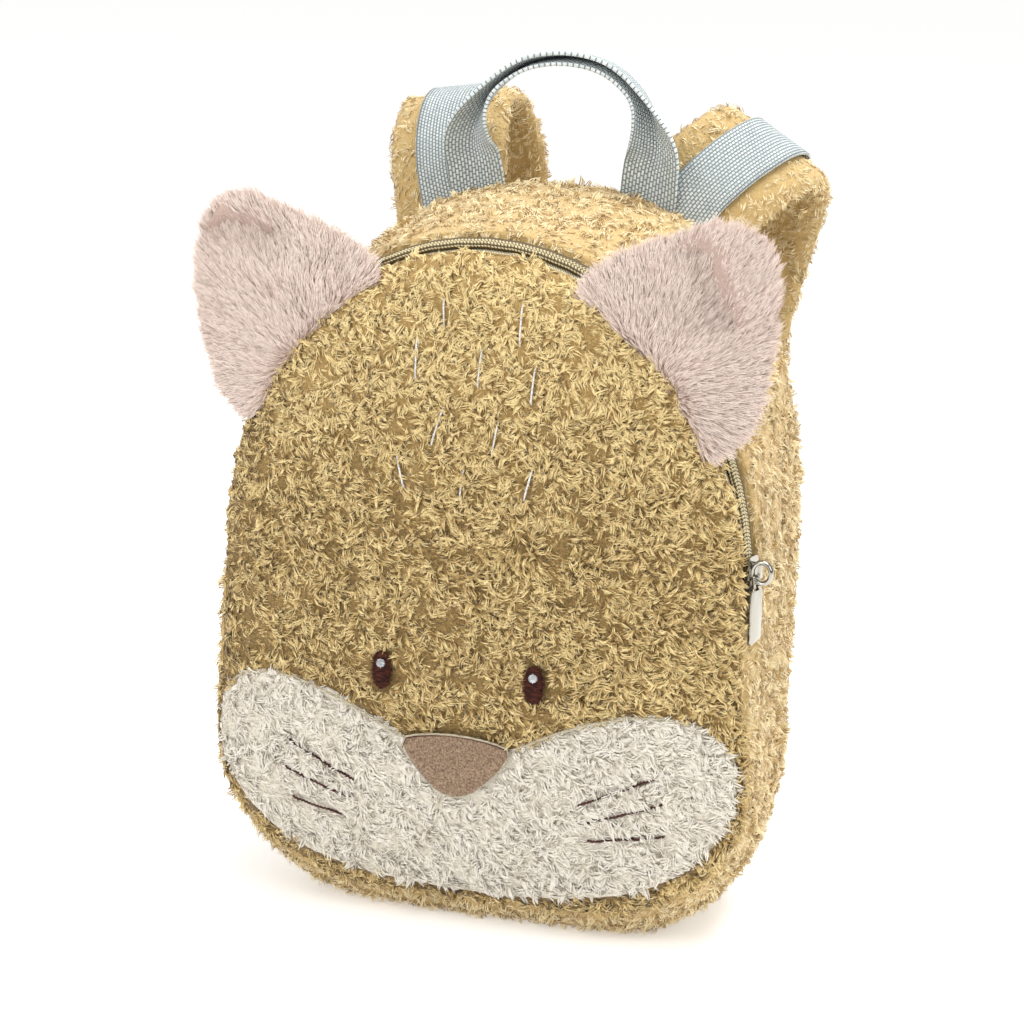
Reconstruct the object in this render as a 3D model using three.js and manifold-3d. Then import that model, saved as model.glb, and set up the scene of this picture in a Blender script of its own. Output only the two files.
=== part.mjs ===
// Toddler's cat-faced plush backpack, in millimetres.
// +Z is up, the face looks along -Y and the origin is the middle of the base on the floor.
import * as THREE from 'three';
import Module from 'manifold-3d';
import { mergeVertices } from 'three/addons/utils/BufferGeometryUtils.js';

// Clearances
const seamGap = 0.3;            // between two pieces that are sewn or laid together
const seatGap = 0.8;            // under a piece that stands on the curved top
const swingGap = 0.5;           // each side of the pull's bar under the bridge

// Cloths
const plushWall = 5;            // padded plush of the front, the back and the gusset
const tapeWall = 1;             // woven zip tape
const webbingWall = 1.4;        // woven webbing
const noseWall = 1.2;           // velour nose
const threadWall = 0.9;         // embroidered eye
const glintWall = 0.4;          // thread of the glint on the eye

// Body
const depth = 96;               // from the front seam to the back seam
const frontBulge = 20;          // how far the front domes out of its seam
const backBulge = 9;
const sideBulge = 4;            // how far the gusset rounds out between its seams
const bottomBulge = 14;         // the same under the bag, before the floor flattens it
const domeShape = { front: 2.2, back: 3 };
const domeRings = {             // shares of the way from the middle of a dome to its seam
  front: [0.22, 0.44, 0.62, 0.77, 0.88, 0.95, 0.985, 1],
  back: [0.35, 0.65, 0.85, 0.95, 1],
};
const front = {
  base: 42, hip: 119, hipHeight: 69, shoulder: 115.5, shoulderHeight: 155.5, top: 288, low: 11, arch: 2,
};
const back = {
  base: 38, hip: 104, hipHeight: 74, shoulder: 107.5, shoulderHeight: 172, top: 303, low: 2, arch: 2.4,
};
const bodyHeart = 132;          // height of the middle that the domes are drawn round

// Zip over the arch
const tapeWidth = 6.5;          // visible tape on each side of the chain's middle
const chainWidth = 5;
const chainHeight = 2.2;
const tapeInset = 3;            // tape below the plush that it is sewn to

// Slider and pull tab
const sliderRise = 9;           // slider's middle above the lower end of the zip
const slider = { length: 12, width: 9.4, wall: 1.2, flange: 0.62 };
const crownShape = { foot: 0.62, waist: 0.8, waistRise: -0.2, shoulder: 0.95, shoulderRise: 0.45, head: 0.45 };
const bridge = { length: 6.8, width: 2.2, wall: 1.1 };
const pull = {
  length: 30, width: 10, wall: 1.4, bar: 1.5, slotLength: 6.4, slotWidth: 4.2, corner: 1.2, slotCorner: 1,
};

// Face, as lengths on the front seen square on
const muzzleBorder = 2.4;       // plush left between the muzzle and the seam at the hips
const muzzle = { half: front.hip - muzzleBorder, low: 16, high: 103.3 };
const nose = { half: 23.5, low: 60.6, high: 88 };
const eye = { apart: 67.6, height: 114.3, halfWidth: 4.6, halfHeight: 8, glint: 1.9, glintRise: 3 };

// Ears
const ear = { innerAcross: 42, outerAcross: 105.5, rise: 74, thick: 9, dish: 9 };

// Handle and shoulder straps
const webbingWidth = 25;
const handle = {
  apart: 75, rise: 58, flare: 4.5, lean: 11, fold: 4, sewn: 0.12, foldStart: 0.03, foldEnd: 0.25,
};
const strap = { apart: 104, width: 57, thick: 11, reach: 62, seamThick: 4, sewn: 0.1, endThick: 0.5 };
const tail = { width: 25, hang: 15, bend: 28, corner: 0.55 };
const adjuster = { width: 33, length: 22, wall: 4, corner: 3 };

// Half outline of the muzzle from its top middle to its bottom middle,
// as shares of its half width and of its height.
const muzzleRows = [
  { across: 0, rise: 0.72 }, { across: 0.206, rise: 0.782 }, { across: 0.343, rise: 0.873 },
  { across: 0.489, rise: 0.951 }, { across: 0.658, rise: 1 }, { across: 0.8, rise: 0.997 },
  { across: 0.9, rise: 0.951 }, { across: 0.985, rise: 0.825 }, { across: 1, rise: 0.687 },
  { across: 0.977, rise: 0.527 }, { across: 0.92, rise: 0.389 }, { across: 0.829, rise: 0.263 },
  { across: 0.678, rise: 0.137 }, { across: 0.42, rise: 0.046 }, { across: 0, rise: 0 },
];

// Half outline of the nose, as shares of its half width and of its height.
const noseRows = [
  { across: 0, rise: 1 }, { across: 0.51, rise: 0.97 }, { across: 0.85, rise: 0.91 },
  { across: 1, rise: 0.84 }, { across: 0.87, rise: 0.62 }, { across: 0.64, rise: 0.38 },
  { across: 0.38, rise: 0.14 }, { across: 0.19, rise: 0.03 }, { across: 0, rise: 0 },
];

// Sections of an ear from its seam to its tip: rise as a share of the ear's rise, middle and
// half as shares of half its seam, thick and dish as shares of the ear's.
const earRows = [
  { rise: 0, middle: 0, half: 1, thick: 0.8, dish: 0.1 },
  { rise: 0.16, middle: 0.02, half: 0.97, thick: 1, dish: 0.5 },
  { rise: 0.36, middle: -0.01, half: 0.84, thick: 1, dish: 0.9 },
  { rise: 0.58, middle: -0.07, half: 0.66, thick: 0.95, dish: 1 },
  { rise: 0.78, middle: -0.14, half: 0.45, thick: 0.85, dish: 0.7 },
  { rise: 0.92, middle: -0.18, half: 0.25, thick: 0.65, dish: 0.3 },
  { rise: 1, middle: -0.19, half: 0.08, thick: 0.35, dish: 0.05 },
];

// Half route of the carry handle from its seam to its top: out as a share of half the distance
// of its feet, flare, rise and lean as shares of the handle's.
const handleRows = [
  { out: 1, flare: 0, rise: 0, lean: 0 }, { out: 1, flare: 0.5, rise: 0.17, lean: 0 },
  { out: 1, flare: 1, rise: 0.36, lean: 0.1 }, { out: 1.06, flare: 0, rise: 0.56, lean: 0.35 },
  { out: 0.88, flare: 0, rise: 0.76, lean: 0.7 }, { out: 0.5, flare: 0, rise: 0.94, lean: 0.95 },
  { out: 0, flare: 0, rise: 1, lean: 1 },
];

// Route of each shoulder strap from the top seam to the end of its pad: out as a share of
// half the straps' distance, reach as a share of the straps' reach behind the back seam, up
// as a share of the back's height, tilt in degrees of the strap's width off the level.
const strapRows = {
  right: [
    { out: 1, reach: 0.01, up: 0.962, tilt: 26 }, { out: 1.15, reach: 0.08, up: 0.997, tilt: 32 },
    { out: 1.36, reach: 0.23, up: 1.035, tilt: 35 }, { out: 1.53, reach: 0.44, up: 1.056, tilt: 34 },
    { out: 1.57, reach: 0.65, up: 1.05, tilt: 32 }, { out: 1.47, reach: 0.84, up: 1.01, tilt: 27 },
    { out: 1.32, reach: 0.97, up: 0.94, tilt: 18 }, { out: 1.12, reach: 1.02, up: 0.83, tilt: 9 },
    { out: 1, reach: 1.03, up: 0.7, tilt: 3 }, { out: 0.96, reach: 1, up: 0.55, tilt: 0 },
    { out: 1.02, reach: 0.9, up: 0.415, tilt: -3 }, { out: 1.18, reach: 0.72, up: 0.3, tilt: -6 },
  ],
  left: [
    { out: 1, reach: 0.01, up: 0.962, tilt: 20 }, { out: 1.07, reach: 0.06, up: 1.003, tilt: 12 },
    { out: 1.14, reach: 0.17, up: 1.053, tilt: 9 }, { out: 1.18, reach: 0.36, up: 1.09, tilt: 8 },
    { out: 1.19, reach: 0.58, up: 1.097, tilt: 8 }, { out: 1.18, reach: 0.8, up: 1.07, tilt: 7 },
    { out: 1.15, reach: 0.95, up: 1.01, tilt: 5 }, { out: 1.12, reach: 1.03, up: 0.91, tilt: 3 },
    { out: 1.1, reach: 1.05, up: 0.785, tilt: 1 }, { out: 1.1, reach: 1.03, up: 0.635, tilt: 0 },
    { out: 1.13, reach: 0.95, up: 0.475, tilt: -3 }, { out: 1.28, reach: 0.76, up: 0.32, tilt: -6 },
  ],
};

const wasm = await Module();
wasm.setup();
const group = new THREE.Group();
const frontSeam = -depth / 2;
const backSeam = depth / 2;
const vec = (x, y, z) => new THREE.Vector3(x, y, z);
const mix = (a, b, t) => a + (b - a) * t;
const degrees = (a) => a * Math.PI / 180;

const finish = {
  sand: { color: 0xc9ad76, roughness: 1, metalness: 0 },
  cream: { color: 0xe6e0d2, roughness: 1, metalness: 0 },
  pink: { color: 0xe6d5cf, roughness: 1, metalness: 0 },
  mauve: { color: 0x9c7f6a, roughness: 0.95, metalness: 0 },
  brown: { color: 0x4a2a22, roughness: 0.8, metalness: 0 },
  grey: { color: 0xb9b9b9, roughness: 0.7, metalness: 0 },
  tape: { color: 0xcdbf9a, roughness: 0.9, metalness: 0 },
  coil: { color: 0x8f8468, roughness: 0.6, metalness: 0 },
  webbing: { color: 0x9aa7ab, roughness: 0.9, metalness: 0 },
  nickel: { color: 0xd8d5cc, roughness: 0.2, metalness: 1 },
  plastic: { color: 0x8f9a9e, roughness: 0.5, metalness: 0 },
};

function add(name, geometry, look, parent = group) {
  const mesh = new THREE.Mesh(geometry, new THREE.MeshStandardMaterial(look));
  mesh.name = name;
  parent.add(mesh);
  return mesh;
}

// Closed body from points and faces, turned so that its faces point out.
function body(points, faces) {
  let volume = 0;
  for (const [a, b, c] of faces) volume += points[a].dot(vec(0, 0, 0).crossVectors(points[b], points[c]));
  const geometry = new THREE.BufferGeometry();
  geometry.setAttribute('position', new THREE.Float32BufferAttribute(points.flatMap((p) => p.toArray()), 3));
  geometry.setIndex(volume > 0 ? faces.flat() : faces.flatMap(([a, b, c]) => [a, c, b]));
  return geometry;
}

function bandFaces(from, to, count) {
  const faces = [];
  for (let i = 0; i < count; i += 1) {
    const j = (i + 1) % count;
    faces.push([from + i, from + j, to + j], [from + i, to + j, to + i]);
  }
  return faces;
}

// Skin over a row of closed loops. Each end runs to an end point, or is closed by a strip
// between the loop's two sides, which start at its first point.
function loft(loops, startPoint, endPoint) {
  const count = loops[0].length;
  const points = loops.flat();
  const faces = [];
  for (let k = 0; k + 1 < loops.length; k += 1) faces.push(...bandFaces(k * count, (k + 1) * count, count));
  const close = (from, apex, flip) => {
    const turn = ([a, b, c]) => (flip ? [a, c, b] : [a, b, c]);
    if (apex) {
      points.push(apex);
      for (let i = 0; i < count; i += 1) faces.push(turn([points.length - 1, from + (i + 1) % count, from + i]));
      return;
    }
    for (let i = 0, j = count - 1; j - i > 1;) {
      faces.push(turn([from + i, from + j, from + i + 1]));
      i += 1;
      if (j - i > 1) faces.push(turn([from + i, from + j, from + j - 1]));
      j -= 1;
    }
  };
  close(0, startPoint, false);
  close((loops.length - 1) * count, endPoint, true);
  return body(points, faces);
}

// Skin over a row of closed loops whose last loop joins its first.
function ringLoft(loops) {
  const count = loops[0].length;
  const faces = loops.flatMap((_, k) => bandFaces(k * count, ((k + 1) % loops.length) * count, count));
  return body(loops.flat(), faces);
}

function toManifold(geometry) {
  const plain = geometry.clone();
  plain.deleteAttribute('normal');
  plain.deleteAttribute('uv');
  const merged = mergeVertices(plain, 1e-4);
  return new wasm.Manifold(new wasm.Mesh({
    numProp: 3,
    vertProperties: new Float32Array(merged.attributes.position.array),
    triVerts: new Uint32Array(merged.index.array),
  }));
}

function fromManifold(solid) {
  const mesh = solid.getMesh();
  const geometry = new THREE.BufferGeometry();
  geometry.setAttribute('position', new THREE.BufferAttribute(new Float32Array(mesh.vertProperties), 3));
  geometry.setIndex(new THREE.BufferAttribute(new Uint32Array(mesh.triVerts), 1));
  return geometry;
}

// Right half of a panel's outline from its lowest to its topmost point, then the left half.
// Each point is { x, z, nx, nz } with the outward normal in the panel's plane.
const outlineSteps = { base: 3, corner: 8, side: 5, arch: 15 };
const archStart = outlineSteps.base + outlineSteps.corner + outlineSteps.side;

function outline(panel) {
  const half = [];
  const { base, corner, side, arch } = outlineSteps;
  for (let i = 0; i < base; i += 1) half.push([panel.base * i / base, panel.low]);
  for (let i = 0; i < corner; i += 1) {
    const a = Math.PI / 2 * i / corner;
    half.push([mix(panel.base, panel.hip, Math.sin(a)), mix(panel.low, panel.hipHeight, 1 - Math.cos(a))]);
  }
  for (let i = 0; i < side; i += 1) {
    const t = i / side;
    half.push([mix(panel.hip, panel.shoulder, t * t * (3 - 2 * t)), mix(panel.hipHeight, panel.shoulderHeight, t)]);
  }
  for (let i = 0; i <= arch; i += 1) {
    const a = Math.PI / 2 * i / arch;
    const rise = panel.top - panel.shoulderHeight;
    half.push([
      panel.shoulder * Math.cos(a) ** (2 / panel.arch),
      panel.shoulderHeight + rise * Math.sin(a) ** (2 / panel.arch),
    ]);
  }
  const left = half.slice(1, -1).reverse().map(([x, z]) => [-x, z]);
  const ring = half.concat(left);
  return ring.map(([x, z], i) => {
    const before = ring.at(i - 1);
    const after = ring[(i + 1) % ring.length];
    const normal = new THREE.Vector2(after[1] - before[1], before[0] - after[0]).normalize();
    return { x, z, nx: normal.x, nz: normal.y };
  });
}

const frontRing = outline(front);
const backRing = outline(back);

// Height of a panel's arch at x.
function archTop(panel, x) {
  const across = Math.min(1, Math.abs(x) / panel.shoulder);
  return panel.shoulderHeight
    + (panel.top - panel.shoulderHeight) * (1 - across ** panel.arch) ** (1 / panel.arch);
}

// Point on the skin between the seams, at index i round the outline and at depth y,
// inset from the plush surface; the part that meets the floor lies flat on it.
function skin(i, y, inset = 0) {
  const share = (y - frontSeam) / depth;
  const a = frontRing.at(i);
  const b = backRing.at(i);
  const n = new THREE.Vector2(mix(a.nx, b.nx, share), mix(a.nz, b.nz, share)).normalize();
  const bulge = mix(sideBulge, bottomBulge, Math.max(0, -n.y) ** 2) * (1 - (2 * share - 1) ** 4);
  return vec(mix(a.x, b.x, share) + n.x * (bulge - inset), y,
    Math.max(inset, mix(a.z, b.z, share) + n.y * (bulge - inset)));
}

// Height of a dome at (x, z) as a share of its bulge, from 1 in the middle to 0 at its seam.
function domeShare(ring, x, z, shape) {
  const angle = Math.atan2(z - bodyHeart, x);
  let reach = Infinity;
  for (let i = 0; i < ring.length; i += 1) {
    const p = ring[i];
    const q = ring[(i + 1) % ring.length];
    const cross = (q.x - p.x) * Math.sin(angle) - (q.z - p.z) * Math.cos(angle);
    const t = ((bodyHeart - p.z) * Math.cos(angle) - (0 - p.x) * Math.sin(angle)) / -cross;
    const s = ((q.x - p.x) * (bodyHeart - p.z) + (q.z - p.z) * p.x) / -cross;
    if (t >= -1e-9 && t <= 1 + 1e-9 && s > 0) reach = Math.min(reach, s);
  }
  const r = Math.min(1, Math.hypot(x, z - bodyHeart) / reach);
  return Math.sqrt(1 - r ** shape);
}

// Height of the gusset's top at x and at depth y.
function topAt(x, y) {
  for (let i = archStart; i < frontRing.length - archStart; i += 1) {
    const p = skin(i, y);
    const q = skin(i + 1, y);
    if (x <= p.x && x >= q.x) return mix(p.z, q.z, (p.x - x) / (p.x - q.x));
  }
  return skin(archStart, y).z;
}
const frontFace = (x, z) => frontSeam - frontBulge * domeShare(frontRing, x, z, domeShape.front);

// Domed padded panel, hollow behind.
function dome(ring, seamAt, bulge, way, shape, reaches) {
  const layer = (inset) => reaches.map((r) => ring.map((p) => vec(
    r * (p.x - p.nx * inset),
    seamAt + way * (bulge - inset) * Math.sqrt(1 - r ** shape),
    bodyHeart + r * (p.z - p.nz * inset - bodyHeart),
  )));
  return loft([...layer(0), ...layer(plushWall).reverse()],
    vec(0, seamAt + way * bulge, bodyHeart), vec(0, seamAt + way * (bulge - plushWall), bodyHeart));
}

// Closed outline from a table of half-outline rows, evenly stepped, grown outward by grow.
function faceOutline(rows, size, steps, grow = 0) {
  const place = ({ across, rise }, side) => vec(side * across * size.half, mix(size.low, size.high, rise), 0);
  const right = rows.map((row) => place(row, 1));
  const left = rows.slice(1, -1).reverse().map((row) => place(row, -1));
  const curve = new THREE.CatmullRomCurve3(right.concat(left), true, 'centripetal');
  const points = curve.getSpacedPoints(steps).slice(0, steps);
  return points.map((p, i) => {
    const tangent = points[(i + 1) % steps].clone().sub(points.at(i - 1)).normalize();
    return new THREE.Vector2(p.x - tangent.y * grow, p.y + tangent.x * grow);
  });
}

function muzzleCutter(grow) {
  const shape = new THREE.Shape(faceOutline(muzzleRows, muzzle, 72, grow));
  const cutter = new THREE.ExtrudeGeometry(shape, { depth, bevelEnabled: false });
  return toManifold(cutter.rotateX(Math.PI / 2).translate(0, frontSeam + 2 * seamGap, 0));
}

function makePanels() {
  const shell = toManifold(dome(frontRing, frontSeam, frontBulge, -1, domeShape.front, domeRings.front));
  add('front_panel', fromManifold(shell.subtract(muzzleCutter(seamGap))), finish.sand);
  add('muzzle_patch', fromManifold(shell.intersect(muzzleCutter(0))), finish.cream);
  const backDome = dome(backRing, backSeam + seamGap, backBulge, 1, domeShape.back, domeRings.back);
  add('back_panel', backDome, finish.sand);
}

const chainMiddle = frontSeam + seamGap + tapeWidth;
const zipBack = chainMiddle + tapeWidth;
const chainInset = tapeInset - seamGap - chainHeight;

function makeGusset() {
  const rows = [0, 0.06, 0.16, 0.3, 0.5, 0.7, 0.86, 1];
  const last = frontRing.length - archStart;
  const start = (i) => (i >= archStart && i <= last ? zipBack : frontSeam) + seamGap;
  const layer = (inset) => rows.map((t) => frontRing.map((_, i) => skin(i, mix(start(i), backSeam, t), inset)));
  add('gusset', ringLoft([...layer(0), ...layer(plushWall).reverse()]), finish.sand);
}

// Band that runs over the arch from one zip end to the other, y0 to y1 deep.
function archBand(y0, y1, inset, wall) {
  const loops = [];
  const last = frontRing.length - archStart;
  for (let i = archStart; i <= last; i += 1) {
    loops.push([skin(i, y0, inset), skin(i, y1, inset), skin(i, y1, inset + wall), skin(i, y0, inset + wall)]);
  }
  return loft(loops);
}

function makeZip() {
  const frontTape = archBand(frontSeam + seamGap, chainMiddle - seamGap / 2, tapeInset, tapeWall);
  const backTape = archBand(chainMiddle + seamGap / 2, zipBack, tapeInset, tapeWall);
  const halfChain = chainWidth / 2;
  add('zip_tape_front', frontTape, finish.tape);
  add('zip_tape_back', backTape, finish.tape);
  add('zip_chain', archBand(chainMiddle - halfChain, chainMiddle + halfChain, chainInset, chainHeight), finish.coil);
}

function roundedShape(width, length, corner) {
  const shape = new THREE.Shape();
  const [w, l] = [width / 2, length / 2];
  shape.moveTo(-w + corner, -l);
  shape.lineTo(w - corner, -l).absarc(w - corner, -l + corner, corner, -Math.PI / 2, 0);
  shape.lineTo(w, l - corner).absarc(w - corner, l - corner, corner, 0, Math.PI / 2);
  shape.lineTo(-w + corner, l).absarc(-w + corner, l - corner, corner, Math.PI / 2, Math.PI);
  shape.lineTo(-w, -l + corner).absarc(-w + corner, -l + corner, corner, Math.PI, 1.5 * Math.PI);
  return shape;
}

// Slider and pull in the zip's own frame: x out of the bag, y across the zip, z along it.
const bridgeHole = pull.wall + 2 * swingGap;
const plateTop = seamGap + slider.wall;
const bridgeTop = plateTop + bridgeHole + bridge.wall;
const hingeRise = -bridge.length / 2 + bridge.wall + swingGap + pull.bar / 2;
const hingeOut = plateTop + bridgeHole / 2;

function sliderSolid() {
  const crown = new THREE.Shape();
  const [w, l] = [slider.width / 2, slider.length / 2];
  const [foot, waist, shoulder, head] = ['foot', 'waist', 'shoulder', 'head'].map((key) => crownShape[key] * w);
  const [low, high] = [crownShape.waistRise * l, crownShape.shoulderRise * l];
  crown.moveTo(-foot, -l);
  crown.lineTo(foot, -l).quadraticCurveTo(waist, low, w, high);
  crown.quadraticCurveTo(shoulder, l, head, l).lineTo(-head, l);
  crown.quadraticCurveTo(-shoulder, l, -w, high).quadraticCurveTo(-waist, low, -foot, -l);
  const plate = new THREE.ExtrudeGeometry(crown, { depth: slider.wall, bevelEnabled: false, curveSegments: 4 });
  plate.rotateX(Math.PI / 2).rotateZ(Math.PI / 2).translate(seamGap, 0, 0);
  const arch = new THREE.Shape();
  const [b, h, t] = [bridge.length / 2, bridgeTop - plateTop, bridge.wall];
  arch.moveTo(-b, -slider.wall / 2);
  arch.lineTo(-b, h - t).quadraticCurveTo(-b, h, -b + t, h).lineTo(b - t, h).quadraticCurveTo(b, h, b, h - t);
  arch.lineTo(b, -slider.wall / 2).lineTo(b - t, -slider.wall / 2).lineTo(b - t, h - t);
  arch.lineTo(-b + t, h - t).lineTo(-b + t, -slider.wall / 2).closePath();
  const bail = new THREE.ExtrudeGeometry(arch, { depth: bridge.width, bevelEnabled: false, curveSegments: 3 });
  const upright = new THREE.Matrix4().makeBasis(vec(0, 0, 1), vec(1, 0, 0), vec(0, 1, 0));
  bail.translate(0, 0, -bridge.width / 2).applyMatrix4(upright).translate(plateTop, 0, 0);
  const flange = new THREE.BoxGeometry(chainHeight, slider.wall, slider.length * slider.flange);
  flange.translate(seamGap + slider.wall / 2 - chainHeight / 2, 0, 0);
  const flangeAt = chainWidth / 2 + seamGap + slider.wall / 2;
  const sides = [-1, 1].map((s) => flange.clone().translate(0, s * flangeAt, 0));
  return [bail, ...sides].reduce((sum, piece) => sum.add(toManifold(piece)), toManifold(plate));
}

function pullSolid() {
  const shape = roundedShape(pull.width, pull.length, pull.corner);
  const slot = roundedShape(pull.slotWidth, pull.slotLength, pull.slotCorner);
  const slotMiddle = pull.length / 2 - pull.bar - pull.slotLength / 2;
  shape.holes.push(new THREE.Path(slot.getPoints(4).map((p) => new THREE.Vector2(p.x, p.y + slotMiddle))));
  const tab = new THREE.ExtrudeGeometry(shape, { depth: pull.wall, bevelEnabled: false, curveSegments: 4 });
  tab.translate(0, pull.bar / 2 - pull.length / 2, -pull.wall / 2);
  return tab.applyMatrix4(new THREE.Matrix4().makeBasis(vec(0, 1, 0), vec(0, 0, 1), vec(1, 0, 0)));
}

function makeSlider() {
  const height = front.shoulderHeight + sliderRise;
  const fall = archStart + (height - skin(archStart, chainMiddle).z)
    / (skin(archStart + 1, chainMiddle).z - skin(archStart, chainMiddle).z);
  const step = Math.floor(fall);
  const chainTop = (y) => skin(step, y, chainInset).lerp(skin(step + 1, y, chainInset), fall - step);
  const edge = chainTop(chainMiddle + chainWidth / 2).sub(chainTop(chainMiddle - chainWidth / 2));
  const out = chainTop(chainMiddle);
  const assembly = new THREE.Group();
  assembly.position.set(out.x, out.y, out.z);
  assembly.rotation.z = -Math.atan2(edge.x, edge.y);
  add('zip_slider', fromManifold(sliderSolid()), finish.nickel, assembly);
  const tab = add('zip_pull', pullSolid(), finish.nickel, assembly);
  tab.position.set(hingeOut, 0, hingeRise);
  group.add(assembly);
}

// Thin patch laid on the front, with the outline given round its middle.
function patch(points, lift, wall) {
  const middle = points.reduce((sum, p) => sum.add(p), new THREE.Vector2()).divideScalar(points.length);
  const layer = (out) => [0.5, 1].map((r) => points.map((p) => {
    const q = middle.clone().lerp(p, r);
    return vec(q.x, frontFace(q.x, q.y) - out, q.y);
  }));
  const centre = (out) => vec(middle.x, frontFace(middle.x, middle.y) - out, middle.y);
  return loft([...layer(lift), ...layer(lift + wall).reverse()], centre(lift), centre(lift + wall));
}

function oval(x, z, halfWidth, halfHeight, steps) {
  return Array.from({ length: steps }, (_, i) => {
    const a = 2 * Math.PI * i / steps;
    return new THREE.Vector2(x + halfWidth * Math.cos(a), z + halfHeight * Math.sin(a));
  });
}

function makeFace() {
  add('nose_patch', patch(faceOutline(noseRows, nose, 26), seamGap, noseWall), finish.mauve);
  for (const [side, name] of [[-1, 'left'], [1, 'right']]) {
    const x = side * eye.apart / 2;
    add(`eye_${name}`, patch(oval(x, eye.height, eye.halfWidth, eye.halfHeight, 16), seamGap, threadWall), finish.brown);
    const glint = oval(x, eye.height + eye.glintRise, eye.glint, eye.glint, 10);
    add(`glint_${name}`, patch(glint, 2 * seamGap + threadWall, glintWall), finish.grey);
  }
}

// Dished two-layer ear that stands on the front seam.
function earSolid(side) {
  const [xi, xo] = [ear.innerAcross, ear.outerAcross];
  const inner = new THREE.Vector2(xi, archTop(front, xi));
  const outer = new THREE.Vector2(xo, archTop(front, xo));
  const seamHalf = inner.distanceTo(outer) / 2;
  const middle = inner.clone().lerp(outer, 0.5);
  const along = outer.clone().sub(inner).normalize();
  const up = new THREE.Vector2(-along.y, along.x);
  const bow = (u) => {
    let low = 0;
    let high = seamHalf;
    for (let k = 0; k < 30; k += 1) {
      const rise = (low + high) / 2;
      const p = middle.clone().addScaledVector(along, u).addScaledVector(up, rise);
      if (p.y < archTop(front, p.x) && p.x < front.shoulder) low = rise;
      else high = rise;
    }
    return low;
  };
  const loops = earRows.map((row) => {
    const loop = [];
    const steps = 10;
    for (let k = 0; k < 2 * steps; k += 1) {
      const a = Math.PI * k / steps;
      const u = Math.cos(a);
      const offset = Math.sin(a) * row.thick * ear.thick / 2;
      const across = (row.middle + u * row.half) * seamHalf;
      const base = bow(THREE.MathUtils.clamp(across, -seamHalf, seamHalf)) + seatGap;
      const rise = row.rise * ear.rise + base * (1 - row.rise);
      const p = middle.clone().addScaledVector(along, across).addScaledVector(up, rise);
      loop.push(vec(side * p.x, frontSeam - seatGap - row.dish * ear.dish * (u * u - 0.5) + offset, p.y));
    }
    return loop;
  });
  return loft(loops);
}

function makeEars() {
  add('ear_left', earSolid(-1), finish.pink);
  add('ear_right', earSolid(1), finish.pink);
}

// Carry handle: webbing laid flat in the seam at both ends and folded lengthwise in between.
function makeHandle() {
  const half = handle.apart / 2;
  const lay = backSeam - strap.seamThick / 2 - 1.5 * webbingWall - 2 * seamGap;
  const seat = topAt(half, lay) + seatGap;
  const place = (row, side) => vec(side * (row.out * half + row.flare * handle.flare),
    lay + row.lean * handle.lean, seat + row.rise * handle.rise);
  const right = handleRows.map((row) => place(row, 1));
  const left = handleRows.slice(0, -1).reverse().map((row) => place(row, -1));
  const route = new THREE.CatmullRomCurve3(right.concat(left));
  const steps = 32;
  const leg = webbingWidth / 2;
  const loops = [];
  for (let k = 0; k <= steps; k += 1) {
    const t = k / steps;
    const p = route.getPoint(t);
    const tangent = route.getTangent(t);
    const side = vec(tangent.z, 0, -tangent.x).normalize();
    const fold = THREE.MathUtils.smoothstep(Math.min(t, 1 - t), handle.foldStart, handle.foldEnd);
    const open = mix(Math.PI / 2, degrees(handle.fold), fold);
    const wingPoint = (wing, reach, out) => {
      const spread = fold * (webbingWall + seamGap) / 2;
      const lateral = wing * (spread + reach * Math.sin(open) + out * Math.cos(open));
      const forward = reach * Math.cos(open) - out * Math.sin(open);
      const q = p.clone().addScaledVector(side, lateral).add(vec(0, -forward, 0));
      const sewn = 1 - THREE.MathUtils.smoothstep(Math.min(t, 1 - t), 0, handle.sewn);
      return q.setZ(mix(q.z, topAt(q.x, lay) + seatGap, sewn));
    };
    const w = webbingWall / 2;
    const outside = [leg, leg / 2, 0];
    const inside = [leg, leg / 2, seamGap * 2];
    loops.push([
      ...outside.map((reach) => wingPoint(-1, reach, w)),
      ...outside.toReversed().map((reach) => wingPoint(1, reach, w)),
      ...inside.map((reach) => wingPoint(1, reach, -w)),
      ...inside.toReversed().map((reach) => wingPoint(-1, reach, -w)),
    ]);
  }
  add('carry_handle', loft(loops), finish.webbing);
}

// Strap surface: t along its route, w across it from -1 to 1 and out above its middle plane.
function strapFrame(name) {
  const side = name === 'right' ? 1 : -1;
  const rows = strapRows[name];
  const place = ({ out, reach, up }) => vec(
    side * out * strap.apart / 2, backSeam + reach * strap.reach, up * back.top);
  const route = new THREE.CatmullRomCurve3(rows.map(place), false, 'centripetal');
  const tilts = new THREE.CatmullRomCurve3(rows.map((row, i) => vec(i, row.tilt, 0)));
  const axes = (t) => {
    const way = route.getTangent(t);
    const tilt = degrees(tilts.getPoint(t).y);
    const level = vec(side * Math.cos(tilt), 0, -Math.sin(tilt));
    const out = vec(0, 0, 0).crossVectors(level, way).multiplyScalar(side).normalize();
    const across = vec(0, 0, 0).crossVectors(way, out).multiplyScalar(side).normalize();
    return { middle: route.getPoint(t), way, across, out };
  };
  const at = (t, w, rise) => {
    const { middle, across, out } = axes(t);
    const q = middle.addScaledVector(across, w * strap.width / 2).addScaledVector(out, rise);
    const sewn = 1 - THREE.MathUtils.smoothstep(t, 0, strap.sewn);
    const x = side * (strap.apart + w * strap.width) / 2;
    const foot = vec(x, backSeam + seamGap - rise, topAt(x, Math.min(backSeam, backSeam - rise)) + seatGap);
    return q.lerp(foot, sewn);
  };
  return { side, at, axes };
}

const padThick = (t) => mix(strap.seamThick, strap.thick, THREE.MathUtils.smoothstep(t, 0, 0.12))
  * mix(1, strap.endThick, THREE.MathUtils.smoothstep(t, 0.95, 1));

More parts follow.
